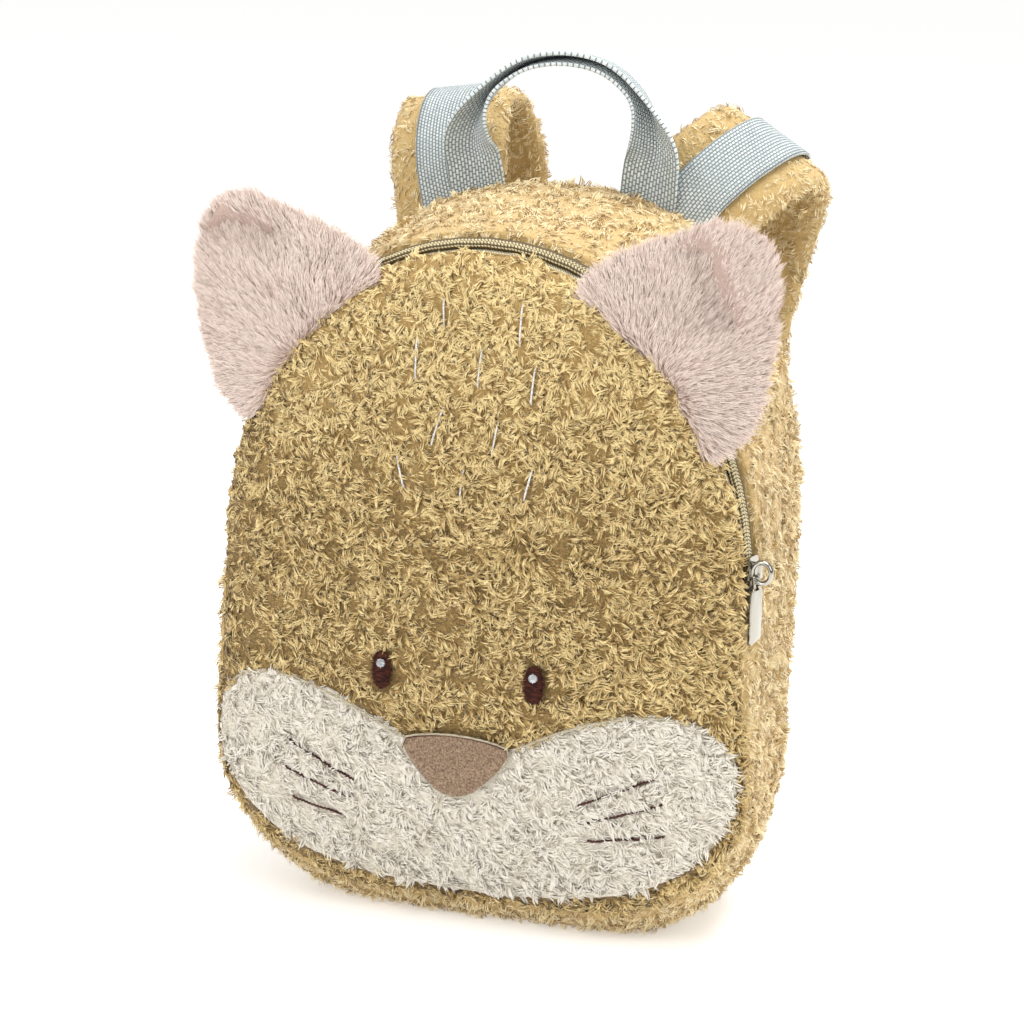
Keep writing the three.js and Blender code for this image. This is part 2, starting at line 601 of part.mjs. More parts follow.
// Half section of the pad from edge to edge, as shares of its half width and half thickness;
// the middle three points lie under the webbing's edges and middle.
const webEdge = webbingWidth / strap.width;
const webSection = [-webEdge, 0, webEdge];
const padSection = [
  { across: -1, out: 0.35 }, { across: -0.85, out: 0.92 }, ...webSection.map((across) => ({ across, out: 1 })),
  { across: 0.85, out: 0.92 }, { across: 1, out: 0.35 },
];

function makeStrap(name) {
  const { side, at, axes } = strapFrame(name);
  const steps = 26;
  const pad = [];
  const web = [];
  for (let k = 0; k <= steps; k += 1) {
    const t = (k / steps) ** 1.25;
    const half = padThick(t) / 2;
    pad.push([
      ...padSection.map((row) => at(t, row.across, row.out * half)),
      ...padSection.toReversed().map((row) => at(t, row.across, -row.out * half)),
    ]);
    const low = half + seamGap;
    web.push([
      ...webSection.map((w) => at(t, w, low)),
      ...webSection.toReversed().map((w) => at(t, w, low + webbingWall)),
    ]);
  }
  add(`strap_${name}`, loft(pad), finish.sand);
  add(`strap_webbing_${name}`, loft(web), finish.webbing);

  const end = axes(1);
  const block = new THREE.ExtrudeGeometry(roundedShape(adjuster.width, adjuster.length, adjuster.corner), {
    depth: adjuster.wall, bevelEnabled: false, curveSegments: 3,
  });
  const turn = new THREE.Matrix4().makeBasis(end.across, end.way, vec(0, 0, 0).crossVectors(end.across, end.way));
  block.translate(0, seatGap + adjuster.length / 2, -adjuster.wall / 2).applyMatrix4(turn);
  block.translate(...end.middle.toArray());
  add(`strap_adjuster_${name}`, block, finish.plastic);

  // Webbing tail from the adjuster round to the seam at the bottom corner of the back.
  const corner = Math.round(outlineSteps.base + outlineSteps.corner * tail.corner);
  const index = side > 0 ? corner : frontRing.length - corner;
  const ring = backRing[index];
  const away = vec(ring.nx, 0, ring.nz);
  const along = vec(-side * ring.nz, 0, side * ring.nx).multiplyScalar(side);
  const foot = skin(index, backSeam).addScaledVector(away, 2 * seatGap + webbingWall / 2);
  const start = end.middle.clone().addScaledVector(end.way, seatGap + adjuster.length + seamGap);
  const hang = start.clone().addScaledVector(end.way, tail.hang);
  const bend = foot.clone().add(vec(0, tail.bend, 0)).addScaledVector(away, 2 * seatGap);
  const route = new THREE.CubicBezierCurve3(start, hang, bend, foot);
  const flat = end.across.clone().multiplyScalar(Math.sign(end.across.dot(along)) || 1);
  const loops = [];
  for (let k = 0; k <= 8; k += 1) {
    const t = k / 8;
    const middle = route.getPoint(t);
    const across = flat.clone().lerp(along, THREE.MathUtils.smoothstep(t, 0.15, 0.95));
    const way = route.getTangent(t);
    across.addScaledVector(way, -across.dot(way)).normalize();
    const out = vec(0, 0, 0).crossVectors(across, way).normalize();
    loops.push([[-1, 1], [1, 1], [1, -1], [-1, -1]].map(([w, o]) => middle.clone()
      .addScaledVector(across, w * tail.width / 2).addScaledVector(out, o * webbingWall / 2)));
  }
  add(`strap_tail_${name}`, loft(loops), finish.webbing);
}

makePanels();
makeGusset();
makeZip();
makeSlider();
makeFace();
makeEars();
makeHandle();
makeStrap('left');
makeStrap('right');

export default group;
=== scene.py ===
import logging
import math
import random
from dataclasses import dataclass, field, replace
from enum import Enum
from functools import lru_cache
from typing import Any, Callable, Iterable, Optional, Sequence

import bmesh
import bpy
from mathutils import Matrix, Vector, noise
from mathutils.bvhtree import BVHTree
from mathutils.geometry import intersect_point_line


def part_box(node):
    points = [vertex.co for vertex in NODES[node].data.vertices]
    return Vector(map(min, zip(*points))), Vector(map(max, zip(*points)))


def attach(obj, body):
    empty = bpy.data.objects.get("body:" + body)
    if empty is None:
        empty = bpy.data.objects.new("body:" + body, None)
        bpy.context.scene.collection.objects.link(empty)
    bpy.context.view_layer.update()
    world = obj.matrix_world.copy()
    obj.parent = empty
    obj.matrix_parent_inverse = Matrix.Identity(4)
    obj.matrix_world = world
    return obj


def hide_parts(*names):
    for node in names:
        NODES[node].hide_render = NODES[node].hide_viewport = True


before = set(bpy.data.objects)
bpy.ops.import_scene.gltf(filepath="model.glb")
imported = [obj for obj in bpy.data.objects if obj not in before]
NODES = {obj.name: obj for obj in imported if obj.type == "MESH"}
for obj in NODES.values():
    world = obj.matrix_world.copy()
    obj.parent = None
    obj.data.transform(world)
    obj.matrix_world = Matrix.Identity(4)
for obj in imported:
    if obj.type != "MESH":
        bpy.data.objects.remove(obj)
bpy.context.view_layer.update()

MM = 0.001
LOG = logging.getLogger("backpack")
BAG_SHELL = ("front_panel", "muzzle_patch", "gusset", "back_panel")
Row = tuple[float, float, float, float]


class Side(Enum):
    """Sides of the bag for someone who looks at the face."""

    LEFT = -1
    RIGHT = 1

    @property
    def word(self) -> str:
        """Word for the side in the names of nodes."""
        return self.name.lower()


def linear(code: str) -> tuple[float, float, float, float]:
    """Linear colour of an sRGB hex value.

    Args:
        code: Value such as "#c2a66c".

    Returns:
        Linear red, green and blue, and an alpha of one.
    """
    parts = [int(code[i:i + 2], 16) / 255 for i in (1, 3, 5)]
    red, green, blue = (c / 12.92 if c <= 0.04045 else ((c + 0.055) / 1.055) ** 2.4 for c in parts)
    return red, green, blue, 1.0


def add_node(tree: bpy.types.NodeTree, kind: str, links: Optional[dict] = None,
             values: Optional[dict] = None, **settings: Any) -> bpy.types.Node:
    """Adds a node with its settings, fixed inputs and links.

    Args:
        tree: Node tree that takes the node.
        kind: Blender's name of the node.
        links: Sockets that feed its inputs, by input name or number.
        values: Fixed values of its inputs, by input name or number.
        settings: Properties of the node.

    Returns:
        The new node.
    """
    node = tree.nodes.new(kind)
    for key, value in settings.items():
        setattr(node, key, value)
    for key, value in (values or {}).items():
        node.inputs[key].default_value = value
    for key, socket in (links or {}).items():
        tree.links.new(socket, node.inputs[key])
    return node


def ramp_node(tree: bpy.types.NodeTree, factor: bpy.types.NodeSocket,
              stops: Sequence[tuple[float, str]]) -> bpy.types.Node:
    """Adds a colour ramp over a factor.

    Args:
        tree: Node tree of the material.
        factor: Socket that drives the ramp.
        stops: Place and hex colour of each stop, in order.

    Returns:
        The ramp node.
    """
    node = add_node(tree, "ShaderNodeValToRGB", {"Fac": factor})
    elements = node.color_ramp.elements
    while len(elements) < len(stops):
        elements.new(0.5)
    for element, (place, code) in zip(elements, stops):
        element.position = place
        element.color = linear(code)
    return node


def surface(name: str, **sockets: Any) -> tuple[bpy.types.Material, bpy.types.NodeTree, bpy.types.Node]:
    """Makes a material whose uniform values sit on its shader.

    Args:
        name: Name of the material.
        sockets: Values of the shader's inputs, with _ for a space.

    Returns:
        The material, its node tree and its shader node.
    """
    material = bpy.data.materials.new(name)
    material.use_nodes = True
    tree = material.node_tree
    shader = tree.nodes["Principled BSDF"]
    for key, value in sockets.items():
        shader.inputs[key.replace("_", " ")].default_value = value
    return material, tree, shader


def bump_to(tree: bpy.types.NodeTree, shader: bpy.types.Node, height: bpy.types.NodeSocket,
            depth: float, strength: float = 1.0) -> None:
    """Feeds a height through a bump node into a shader.

    Args:
        tree: Node tree of the material.
        shader: Shader that takes the normal.
        height: Height from 0 to 1.
        depth: Depth of the relief in metres.
        strength: Share of the bump that is used.
    """
    bump = add_node(tree, "ShaderNodeBump", {"Height": height},
                    {"Strength": strength, "Distance": depth})
    tree.links.new(bump.outputs["Normal"], shader.inputs["Normal"])


def smooth(value: float, low: float, high: float) -> float:
    """Smooth step from 0 at low to 1 at high."""
    share = min(1.0, max(0.0, (value - low) / (high - low)))
    return share * share * (3 - 2 * share)


def mix(a: float, b: float, share: float) -> float:
    """Value between a and b."""
    return a + (b - a) * share


@dataclass(frozen=True)
class PilePlush:
    """Long-haired acrylic plush: matt locks of fine strands, pale at their tips, with painted shade that
    darkens their roots and the cloth between them.
    """

    name: str
    tip: str
    middle: str
    root: str
    contrast: float = 1.0
    patch_mm: float = 16.0
    # Painted light: brow pales the pile over a band of heights towards the top, as light from above
    # would.
    brow: float = 0.0
    brow_from: float = 0.17
    brow_to: float = 0.27

    @lru_cache(maxsize=None)
    def material(self) -> bpy.types.Material:
        """Material that reads the height, the hairs and the tone of each lock, with painted light that
        makes it paler up on the brow.
        """
        material, tree, shader = surface(self.name, Roughness=0.85, Sheen_Weight=0.25,
                                         Sheen_Roughness=0.5, Specular_IOR_Level=0.25)
        height, width, tone = (add_node(tree, "ShaderNodeAttribute", attribute_name=name)
                               for name in ("tip", "strand", "tuft"))
        place = add_node(tree, "ShaderNodeTexCoord")
        patches = add_node(tree, "ShaderNodeTexNoise", {"Vector": place.outputs["Object"]},
                           {"Scale": 1 / (self.patch_mm * MM), "Detail": 2.0})
        lanes = add_node(tree, "ShaderNodeCombineXYZ", {0: width.outputs["Fac"], 1: height.outputs["Fac"],
                                                        2: tone.outputs["Fac"]})
        spread = add_node(tree, "ShaderNodeVectorMath", {0: lanes.outputs[0]},
                          {1: (20.0, 1.3, 60.0)}, operation="MULTIPLY")
        hair = add_node(tree, "ShaderNodeTexNoise", {"Vector": spread.outputs[0]},
                        {"Scale": 1.0, "Detail": 1.0})
        streak = add_node(tree, "ShaderNodeMapRange", {"Value": hair.outputs["Fac"]},
                          {"From Min": 0.32, "From Max": 0.68, "To Min": -0.5, "To Max": 0.5})
        # Painted shade: low down each lock, and on the cloth between the locks, the level falls towards
        # the dark root colour.
        total = add_node(tree, "ShaderNodeMath", {0: height.outputs["Fac"]},
                         {1: 0.57, 2: 0.18 - 0.1 * self.contrast}, operation="MULTIPLY_ADD")
        for source, weight in ((tone.outputs["Fac"], 0.2), (streak.outputs["Result"], 0.34),
                               (patches.outputs["Fac"], 0.2)):
            total = add_node(tree, "ShaderNodeMath", {0: source, 2: total.outputs[0]},
                             {1: weight * self.contrast}, operation="MULTIPLY_ADD")
        ground = add_node(tree, "ShaderNodeTexNoise", {"Vector": place.outputs["Object"]},
                          {"Scale": 1 / (1.1 * MM), "Detail": 2.0})
        level = add_node(tree, "ShaderNodeMath", {0: ground.outputs["Fac"], 2: total.outputs[0]},
                         {1: 0.3 * self.contrast}, operation="MULTIPLY_ADD")
        axes = add_node(tree, "ShaderNodeSeparateXYZ", {"Vector": place.outputs["Object"]})
        # Painted light: the pile grows paler towards the top, as if lit from above.
        high = add_node(tree, "ShaderNodeMapRange", {"Value": axes.outputs["Z"]},
                        {"From Min": self.brow_from, "From Max": self.brow_to, "To Max": self.brow})
        level = add_node(tree, "ShaderNodeMath", {0: level.outputs[0], 1: high.outputs["Result"]},
                         operation="ADD")
        ramp = ramp_node(tree, level.outputs[0],
                         [(0.22, self.root), (0.6, self.middle), (0.98, self.tip)])
        tree.links.new(ramp.outputs["Color"], shader.inputs["Base Color"])
        bump_to(tree, shader, ground.outputs["Fac"], 0.8 * MM, 0.8)
        return material


@dataclass(frozen=True)
class Velour:
    """Short cut velour, close and dull, with a fine grain of pile ends."""

    name: str
    light: str
    dark: str
    grain_mm: float = 0.9

    @lru_cache(maxsize=None)
    def material(self) -> bpy.types.Material:
        """Material with a fine two-tone grain, a little coarser than real, so that it shows."""
        material, tree, shader = surface(self.name, Roughness=0.9, Sheen_Weight=0.35,
                                         Sheen_Roughness=0.4, Specular_IOR_Level=0.2)
        place = add_node(tree, "ShaderNodeTexCoord")
        grain = add_node(tree, "ShaderNodeTexNoise", {"Vector": place.outputs["Object"]},
                         {"Scale": 1 / (self.grain_mm * MM), "Detail": 3.0, "Roughness": 0.7})
        ramp = ramp_node(tree, grain.outputs["Fac"], [(0.36, self.dark), (0.66, self.light)])
        tree.links.new(ramp.outputs["Color"], shader.inputs["Base Color"])
        bump_to(tree, shader, grain.outputs["Fac"], 0.35 * MM)
        return material


@dataclass(frozen=True)
class Thread:
    """Embroidery thread, rayon or cotton, with a soft gloss along the stitches."""

    name: str
    light: str
    dark: str
    roughness: float = 0.5

    @lru_cache(maxsize=None)
    def material(self) -> bpy.types.Material:
        """Material with small changes of tone from stitch to stitch."""
        material, tree, shader = surface(self.name, Roughness=self.roughness, Specular_IOR_Level=0.2)
        place = add_node(tree, "ShaderNodeTexCoord")
        lying = add_node(tree, "ShaderNodeVectorMath", {0: place.outputs["Object"]},
                         {1: (0.2, 1.0, 1.0)}, operation="MULTIPLY")
        grain = add_node(tree, "ShaderNodeTexNoise", {"Vector": lying.outputs[0]},
                         {"Scale": 1 / (0.6 * MM), "Detail": 1.0})
        ramp = ramp_node(tree, grain.outputs["Fac"], [(0.35, self.dark), (0.65, self.light)])
        tree.links.new(ramp.outputs["Color"], shader.inputs["Base Color"])
        return material


@dataclass(frozen=True)
class BasketWebbing:
    """Cotton webbing in a coarse plain weave: rounded yarn floats with dark gaps between."""

    name: str
    light: str
    middle: str
    gap: str
    float_mm: float = 2.4
    yarn_mm: float = 1.5

    @lru_cache(maxsize=None)
    def material(self) -> bpy.types.Material:
        """Material over the strip's own millimetre UV map, u across and v along it."""
        material, tree, shader = surface(self.name, Roughness=0.85, Sheen_Weight=0.15,
                                         Specular_IOR_Level=0.3)
        uv = add_node(tree, "ShaderNodeUVMap", uv_map="weave")
        turned = add_node(tree, "ShaderNodeMapping", {"Vector": uv.outputs["UV"]},
                          {"Rotation": (0.0, 0.0, math.pi / 2)})
        weave = add_node(tree, "ShaderNodeTexBrick", {"Vector": turned.outputs["Vector"]},
                         {"Color1": linear(self.light), "Color2": linear(self.middle),
                          "Mortar": linear(self.gap), "Scale": 1.0, "Mortar Size": self.yarn_mm * 0.3,
                          "Mortar Smooth": 1.0, "Brick Width": self.float_mm, "Row Height": self.yarn_mm})
        weave.offset = 0.5
        fuzz = add_node(tree, "ShaderNodeTexNoise", {"Vector": uv.outputs["UV"]},
                        {"Scale": 2.2, "Detail": 3.0})
        tone = add_node(tree, "ShaderNodeMix", data_type="RGBA", blend_type="SOFT_LIGHT")
        tone.inputs["Factor"].default_value = 0.25
        tree.links.new(weave.outputs["Color"], tone.inputs[6])
        tree.links.new(fuzz.outputs["Color"], tone.inputs[7])
        tree.links.new(tone.outputs[2], shader.inputs["Base Color"])
        low = add_node(tree, "ShaderNodeMath", {1: weave.outputs["Fac"]}, {0: 1.0}, operation="SUBTRACT")
        bump_to(tree, shader, low.outputs[0], 0.45 * MM)
        return material


@dataclass(frozen=True)
class TwillTape:
    """Polyester zip tape in a herringbone twill."""

    name: str
    light: str
    dark: str
    rib_mm: float = 1.15
    turn_mm: float = 3.0

    @lru_cache(maxsize=None)
    def material(self) -> bpy.types.Material:
        """Material over the tape's millimetre UV map, its ribs drawn coarse enough to show."""
        material, tree, shader = surface(self.name, Roughness=0.8, Sheen_Weight=0.1)
        uv = add_node(tree, "ShaderNodeUVMap", uv_map="weave")
        axes = add_node(tree, "ShaderNodeSeparateXYZ", {"Vector": uv.outputs["UV"]})
        zigzag = add_node(tree, "ShaderNodeMath", {0: axes.outputs["X"]}, {1: self.turn_mm},
                          operation="PINGPONG")
        slope = add_node(tree, "ShaderNodeMath", {0: axes.outputs["Y"], 1: zigzag.outputs[0]},
                         operation="ADD")
        phase = add_node(tree, "ShaderNodeMath", {0: slope.outputs[0]}, {1: math.tau / self.rib_mm},
                         operation="MULTIPLY")
        wave = add_node(tree, "ShaderNodeMath", {0: phase.outputs[0]}, operation="SINE")
        rib = add_node(tree, "ShaderNodeMath", {0: wave.outputs[0]}, {1: 0.5, 2: 0.5},
                       operation="MULTIPLY_ADD")
        ramp = ramp_node(tree, rib.outputs[0], [(0.1, self.dark), (0.8, self.light)])
        tree.links.new(ramp.outputs["Color"], shader.inputs["Base Color"])
        bump_to(tree, shader, rib.outputs[0], 0.2 * MM)
        return material


@dataclass(frozen=True)
class Moulded:
    """Injection-moulded plastic or nylon monofilament, semi-matt."""

    name: str
    colour: str
    roughness: float = 0.45

    @lru_cache(maxsize=None)
    def material(self) -> bpy.types.Material:
        """Material with the faint grain of a moulded face."""
        material, tree, shader = surface(self.name, Base_Color=linear(self.colour), IOR=1.5)
        place = add_node(tree, "ShaderNodeTexCoord")
        grain = add_node(tree, "ShaderNodeTexNoise", {"Vector": place.outputs["Object"]},
                         {"Scale": 1 / (1.5 * MM), "Detail": 2.0})
        rough = add_node(tree, "ShaderNodeMapRange", {"Value": grain.outputs["Fac"]},
                         {"To Min": self.roughness - 0.1, "To Max": self.roughness + 0.1})
        tree.links.new(rough.outputs["Result"], shader.inputs["Roughness"])
        bump_to(tree, shader, grain.outputs["Fac"], 0.05 * MM, 0.5)
        return material


@dataclass(frozen=True)
class NickelPlate:
    """Zinc die casting, polished and nickel plated, with the faint haze of handling."""

    name: str = "nickel_plate"
    colour: str = "#aaa69b"

    @lru_cache(maxsize=None)
    def material(self) -> bpy.types.Material:
        """Bright metal whose gloss varies a little."""
        material, tree, shader = surface(self.name, Base_Color=linear(self.colour), Metallic=1.0)
        place = add_node(tree, "ShaderNodeTexCoord")
        haze = add_node(tree, "ShaderNodeTexNoise", {"Vector": place.outputs["Object"]},
                        {"Scale": 1 / (3 * MM), "Detail": 2.0})
        rough = add_node(tree, "ShaderNodeMapRange", {"Value": haze.outputs["Fac"]},
                         {"To Min": 0.08, "To Max": 0.2})
        tree.links.new(rough.outputs["Result"], shader.inputs["Roughness"])
        return material


# Curly acrylic plush of the front, a darker copy that paints the upright front's shade against the paler
# walls: golden tips over brown roots, whose dark paints the shade between the locks so that each lock
# reads by itself; its brow setting paints light towards the top.
SAND = PilePlush("sand_plush", "#ebd49a", "#b1925a", "#4c3814", 1.15, brow=0.2)
# The same plush in a paler copy on the walls and straps, painted light where the light falls along them,
# with soft locks.
SAND_PAINTED_LIT = PilePlush("sand_plush_light", "#f6e9c8", "#e6d3a6", "#c2a56e", 0.35)
# Undyed plush of the muzzle: nearly white, with faint grey at the roots that paints the shade between the
# locks.
CREAM = PilePlush("cream_plush", "#f4f0e7", "#eae3d6", "#dad2c2", 0.28)
# Straight-haired faux fur of the ears: blush pink that pales towards its tips.
PINK = PilePlush("ear_fur", "#f6e8df", "#e3d0c4", "#b1978b", 0.5, 22.0)
# Cut velour of the nose: dull taupe with a fine grain.
NOSE = Velour("nose_velour", "#a78d75", "#5f4c3c")
# Rayon embroidery: dark brown eyes, grey glints, and a dull beige cord round the patches.
EYE = Thread("eye_thread", "#56291c", "#240d08", 0.7)
GLINT = Thread("glint_thread", "#d5d6d8", "#8f9092", 0.35)
EDGE = Thread("edge_thread", "#c2b8a2", "#978c74")
# Silvery brow stitches, which catch the light, and brown whisker thread, which doesn't.
SILVER = Thread("silver_thread", "#f0efee", "#c4c2c0", 0.3)
WHISKER = Thread("whisker_thread", "#5a3a33", "#35201b", 0.7)
# Cotton webbing, yarn dyed: pale grey-blue floats with darker gaps, which read as a coarse weave.
WEBBING = BasketWebbing("grey_blue_webbing", "#dbe1e1", "#c3cccd", "#7b8686")
# Polyester zip tape in straw, with nylon coils a little darker, and a dark core under them that paints
# the shade between the coils.
TAPE = TwillTape("zip_twill", "#eadfbe", "#9b8c66")
COIL = Moulded("zip_nylon", "#cdc09a", 0.5)
COIL_PAINTED_SHADE = Moulded("zip_cord", "#5d4e30", 0.7)
# Acetal adjusters, moulded in grey, with the soft gloss of the mould.
GREY_PLASTIC = Moulded("adjuster_acetal", "#8f9a9e")
# Nickel on zinc: bright, a little warm, with dark bands where it mirrors the room.
NICKEL = NickelPlate()


def link(name: str, mesh: bpy.types.Mesh, finish: Any) -> bpy.types.Object:
    """Puts a mesh in the scene under a name, with its finish and smooth faces.

    Args:
        name: Name of the piece.
        mesh: Its mesh, placed in the bag's own frame.
        finish: Finish with a material method.

    Returns:
        The new object.
    """
    obj = bpy.data.objects.new(name, mesh)
    mesh.name = name
    mesh.materials.clear()
    mesh.materials.append(finish.material())
    mesh.polygons.foreach_set("use_smooth", [True] * len(mesh.polygons))
    bpy.context.scene.collection.objects.link(obj)
    return obj


def from_bmesh(bm: bmesh.types.BMesh, name: str, finish: Any) -> bpy.types.Object:
    """Turns a bmesh into a piece of the scene and frees it.

    Args:
        bm: Finished bmesh.
        name: Name of the piece.
        finish: Its finish.

    Returns:
        The new object.
    """
    mesh = bpy.data.meshes.new(name)
    bm.to_mesh(mesh)
    bm.free()
    return link(name, mesh, finish)


def apply_modifiers(obj: bpy.types.Object) -> None:
    """Replaces an object's mesh by what its modifiers make of it.

    Args:
        obj: Object with live modifiers.
    """
    bpy.context.view_layer.update()
    graph = bpy.context.evaluated_depsgraph_get()
    old = obj.data
    obj.data = bpy.data.meshes.new_from_object(obj.evaluated_get(graph), depsgraph=graph)
    obj.modifiers.clear()
    bpy.data.meshes.remove(old)


def solid_tree(*nodes: str) -> BVHTree:
    """Search tree over the faces of CAD nodes.

    Args:
        nodes: Names of the nodes.

    Returns:
        A tree for rays and nearest points.
    """
    bm = bmesh.new()
    for node in nodes:
        bm.from_mesh(NODES[node].data)
    tree = BVHTree.FromBMesh(bm)
    bm.free()
    return tree


def merged_copy(node: str) -> bmesh.types.BMesh:
    """Copy of a CAD node's mesh with its loose triangles merged.

    Args:
        node: Name of the node.

    Returns:
        A bmesh that can be shaped further.
    """
    bm = bmesh.new()
    bm.from_mesh(NODES[node].data)
    bmesh.ops.remove_doubles(bm, verts=bm.verts, dist=1e-6)
    return bm


FACE_TREE = solid_tree("front_panel", "muzzle_patch")
SHELL_TREE = solid_tree(*BAG_SHELL)
BAG_HEART = Vector((0.0, 0.0, 0.15))


def on_face(x: float, z: float, out: float = 0.0) -> Vector:
    """Point on the front of the bag.

    Args:
        x: Place across, in millimetres.
        z: Height in millimetres.
        out: Distance in front of the plush's mean surface, in millimetres.

    Returns:
        The point in metres.
    """
    hit = FACE_TREE.ray_cast(Vector((x * MM, -0.3, z * MM)), Vector((0, 1, 0)))[0]
    return Vector((x * MM, (hit.y if hit else -0.048) - out * MM, z * MM))


def face_normal(x: float, z: float) -> Vector:
    """Outward normal of the smooth front at a place.

    Args:
        x: Place across, in millimetres.
        z: Height in millimetres.

    Returns:
        Unit vector away from the bag.
    """
    reach = 4.0
    across = on_face(x + reach, z) - on_face(x - reach, z)
    upward = on_face(x, z + reach) - on_face(x, z - reach)
    return across.cross(upward).normalized()


@dataclass(frozen=True)
class Seam:
    """Stitched line that parts the pile and draws the cloth in."""

    start: Vector
    end: Vector
    draw: float = 1.2
    cover: float = 0.0
    part: float = 1.4
    reach: float = 4.0

    def distance(self, point: Vector) -> float:
        """Distance of a point from the line, in metres."""
        share = intersect_point_line(point, self.start, self.end)[1]
        near = self.start.lerp(self.end, min(1.0, max(0.0, share)))
        return (point - near).length

    def share(self, point: Vector) -> float:
        """Share of the pile that grows at a point, from its cover on the line to 1 away from it."""
        return min(1.0, self.cover + (1 - self.cover) * self.distance(point) / MM / self.part)


@dataclass(frozen=True)
class Clearing:
    """Place where the pile stops because another piece lies there."""

    tree: BVHTree
    bare: float
    fade: float

    def share(self, point: Vector) -> float:
        """Share of the pile that grows at a point, from 0 on the piece to 1 away from it."""
        near = self.tree.find_nearest(point, (self.bare + self.fade) * MM)
        if near[0] is None:
            return 1.0
        return min(1.0, max(0.0, (near[3] / MM - self.bare) / self.fade))


@dataclass
class SoftShell:
    """Cloth solid, divided or remeshed finely and drawn in, so that its pile ends at its surface."""

    node: str
    name: str
    finish: Any
    cuts: int = 0
    voxel: float = 2.8
    relax: int = 5
    hold: float = 0.8
    sink: float = 1.2
    tuck: float = 0.9
    lumps: float = 0.8
    lump_mm: float = 7.0
    closed_bag: bool = True
    seams: Sequence[Seam] = ()
    clearings: Sequence[Clearing] = ()
    nap: Callable[[Vector, Vector], Vector] = lambda point, normal: Vector((0, 0, -0.3))
    pose: Optional[Callable[[Vector], Vector]] = None

    def build(self) -> bpy.types.Object:
        """Makes the shell with the attributes that its pile grows by.

        Returns:
            The shell's object.
        """
        bm = merged_copy(self.node)
        if self.cuts:
            bmesh.ops.subdivide_edges(bm, edges=bm.edges, cuts=self.cuts, use_grid_fill=True)
        obj = from_bmesh(bm, self.name, self.finish)
        if not self.cuts:
            even = obj.modifiers.new("even", "REMESH")
            even.mode = "VOXEL"
            even.voxel_size = self.voxel * MM
            apply_modifiers(obj)
        form = solid_tree(self.node)
        bm = bmesh.new()
        bm.from_mesh(obj.data)
        for _ in range(self.relax):
            bmesh.ops.smooth_vert(bm, verts=bm.verts, factor=0.5, use_axis_x=True, use_axis_y=True,
                                  use_axis_z=True)
        for vert in bm.verts:
            vert.co = vert.co.lerp(form.find_nearest(vert.co)[0], self.hold)
        bm.normal_update()
        shares, naps = [], []
        for vert in bm.verts:
            shown = self._shown(vert.co)
            if shown:
                rise = self.lumps * noise.fractal(vert.co / (self.lump_mm * MM), 1.0, 2.0, 2) - self.sink
                for seam in self.seams:
                    rise -= seam.draw * math.exp(-(seam.distance(vert.co) / MM / seam.reach) ** 2)
            else:
                rise = self.tuck if self._facing(vert.co, vert.normal) else 0.0
            shares.append(self._pile_share(vert.co) if shown else 0.0)
            naps.extend(self.nap(vert.co, vert.normal))
            vert.co += vert.normal * rise * MM
            if self.pose:
                vert.co += self.pose(vert.co)
            vert.co.z = max(vert.co.z, 0.0)
        bm.normal_update()
        bm.to_mesh(obj.data)
        bm.free()
        mesh = obj.data
        mesh.attributes.new("pile", "FLOAT", "POINT").data.foreach_set("value", shares)
        mesh.attributes.new("nap", "FLOAT_VECTOR", "POINT").data.foreach_set("vector", naps)
        mesh.materials.clear()
        mesh.materials.append(self.finish.material())
        mesh.polygons.foreach_set("use_smooth", [True] * len(mesh.polygons))
        return obj

    def _shown(self, point: Vector) -> bool:
        """Whether a point of the shell lies in the open, seen from away from the bag."""
        away = (point - BAG_HEART).normalized()
        return not self.closed_bag or SHELL_TREE.ray_cast(point + away * MM, away)[0] is None

    @staticmethod
    def _facing(point: Vector, normal: Vector) -> bool:
        """Whether the cloth of the next panel lies close in front of a point."""
        room = SHELL_TREE.ray_cast(point + normal * 2.2 * MM, normal, 0.4)[3]
        return room is not None and room < 12 * MM

    def _pile_share(self, point: Vector) -> float:
        """Share of the full pile that grows at a point of the shell."""
        if point.z < 2 * MM:
            return 0.0
        share = 1.0
        for seam in self.seams:
            share = min(share, seam.share(point))
        for clearing in self.clearings:
            share = min(share, clearing.share(point))
        return share


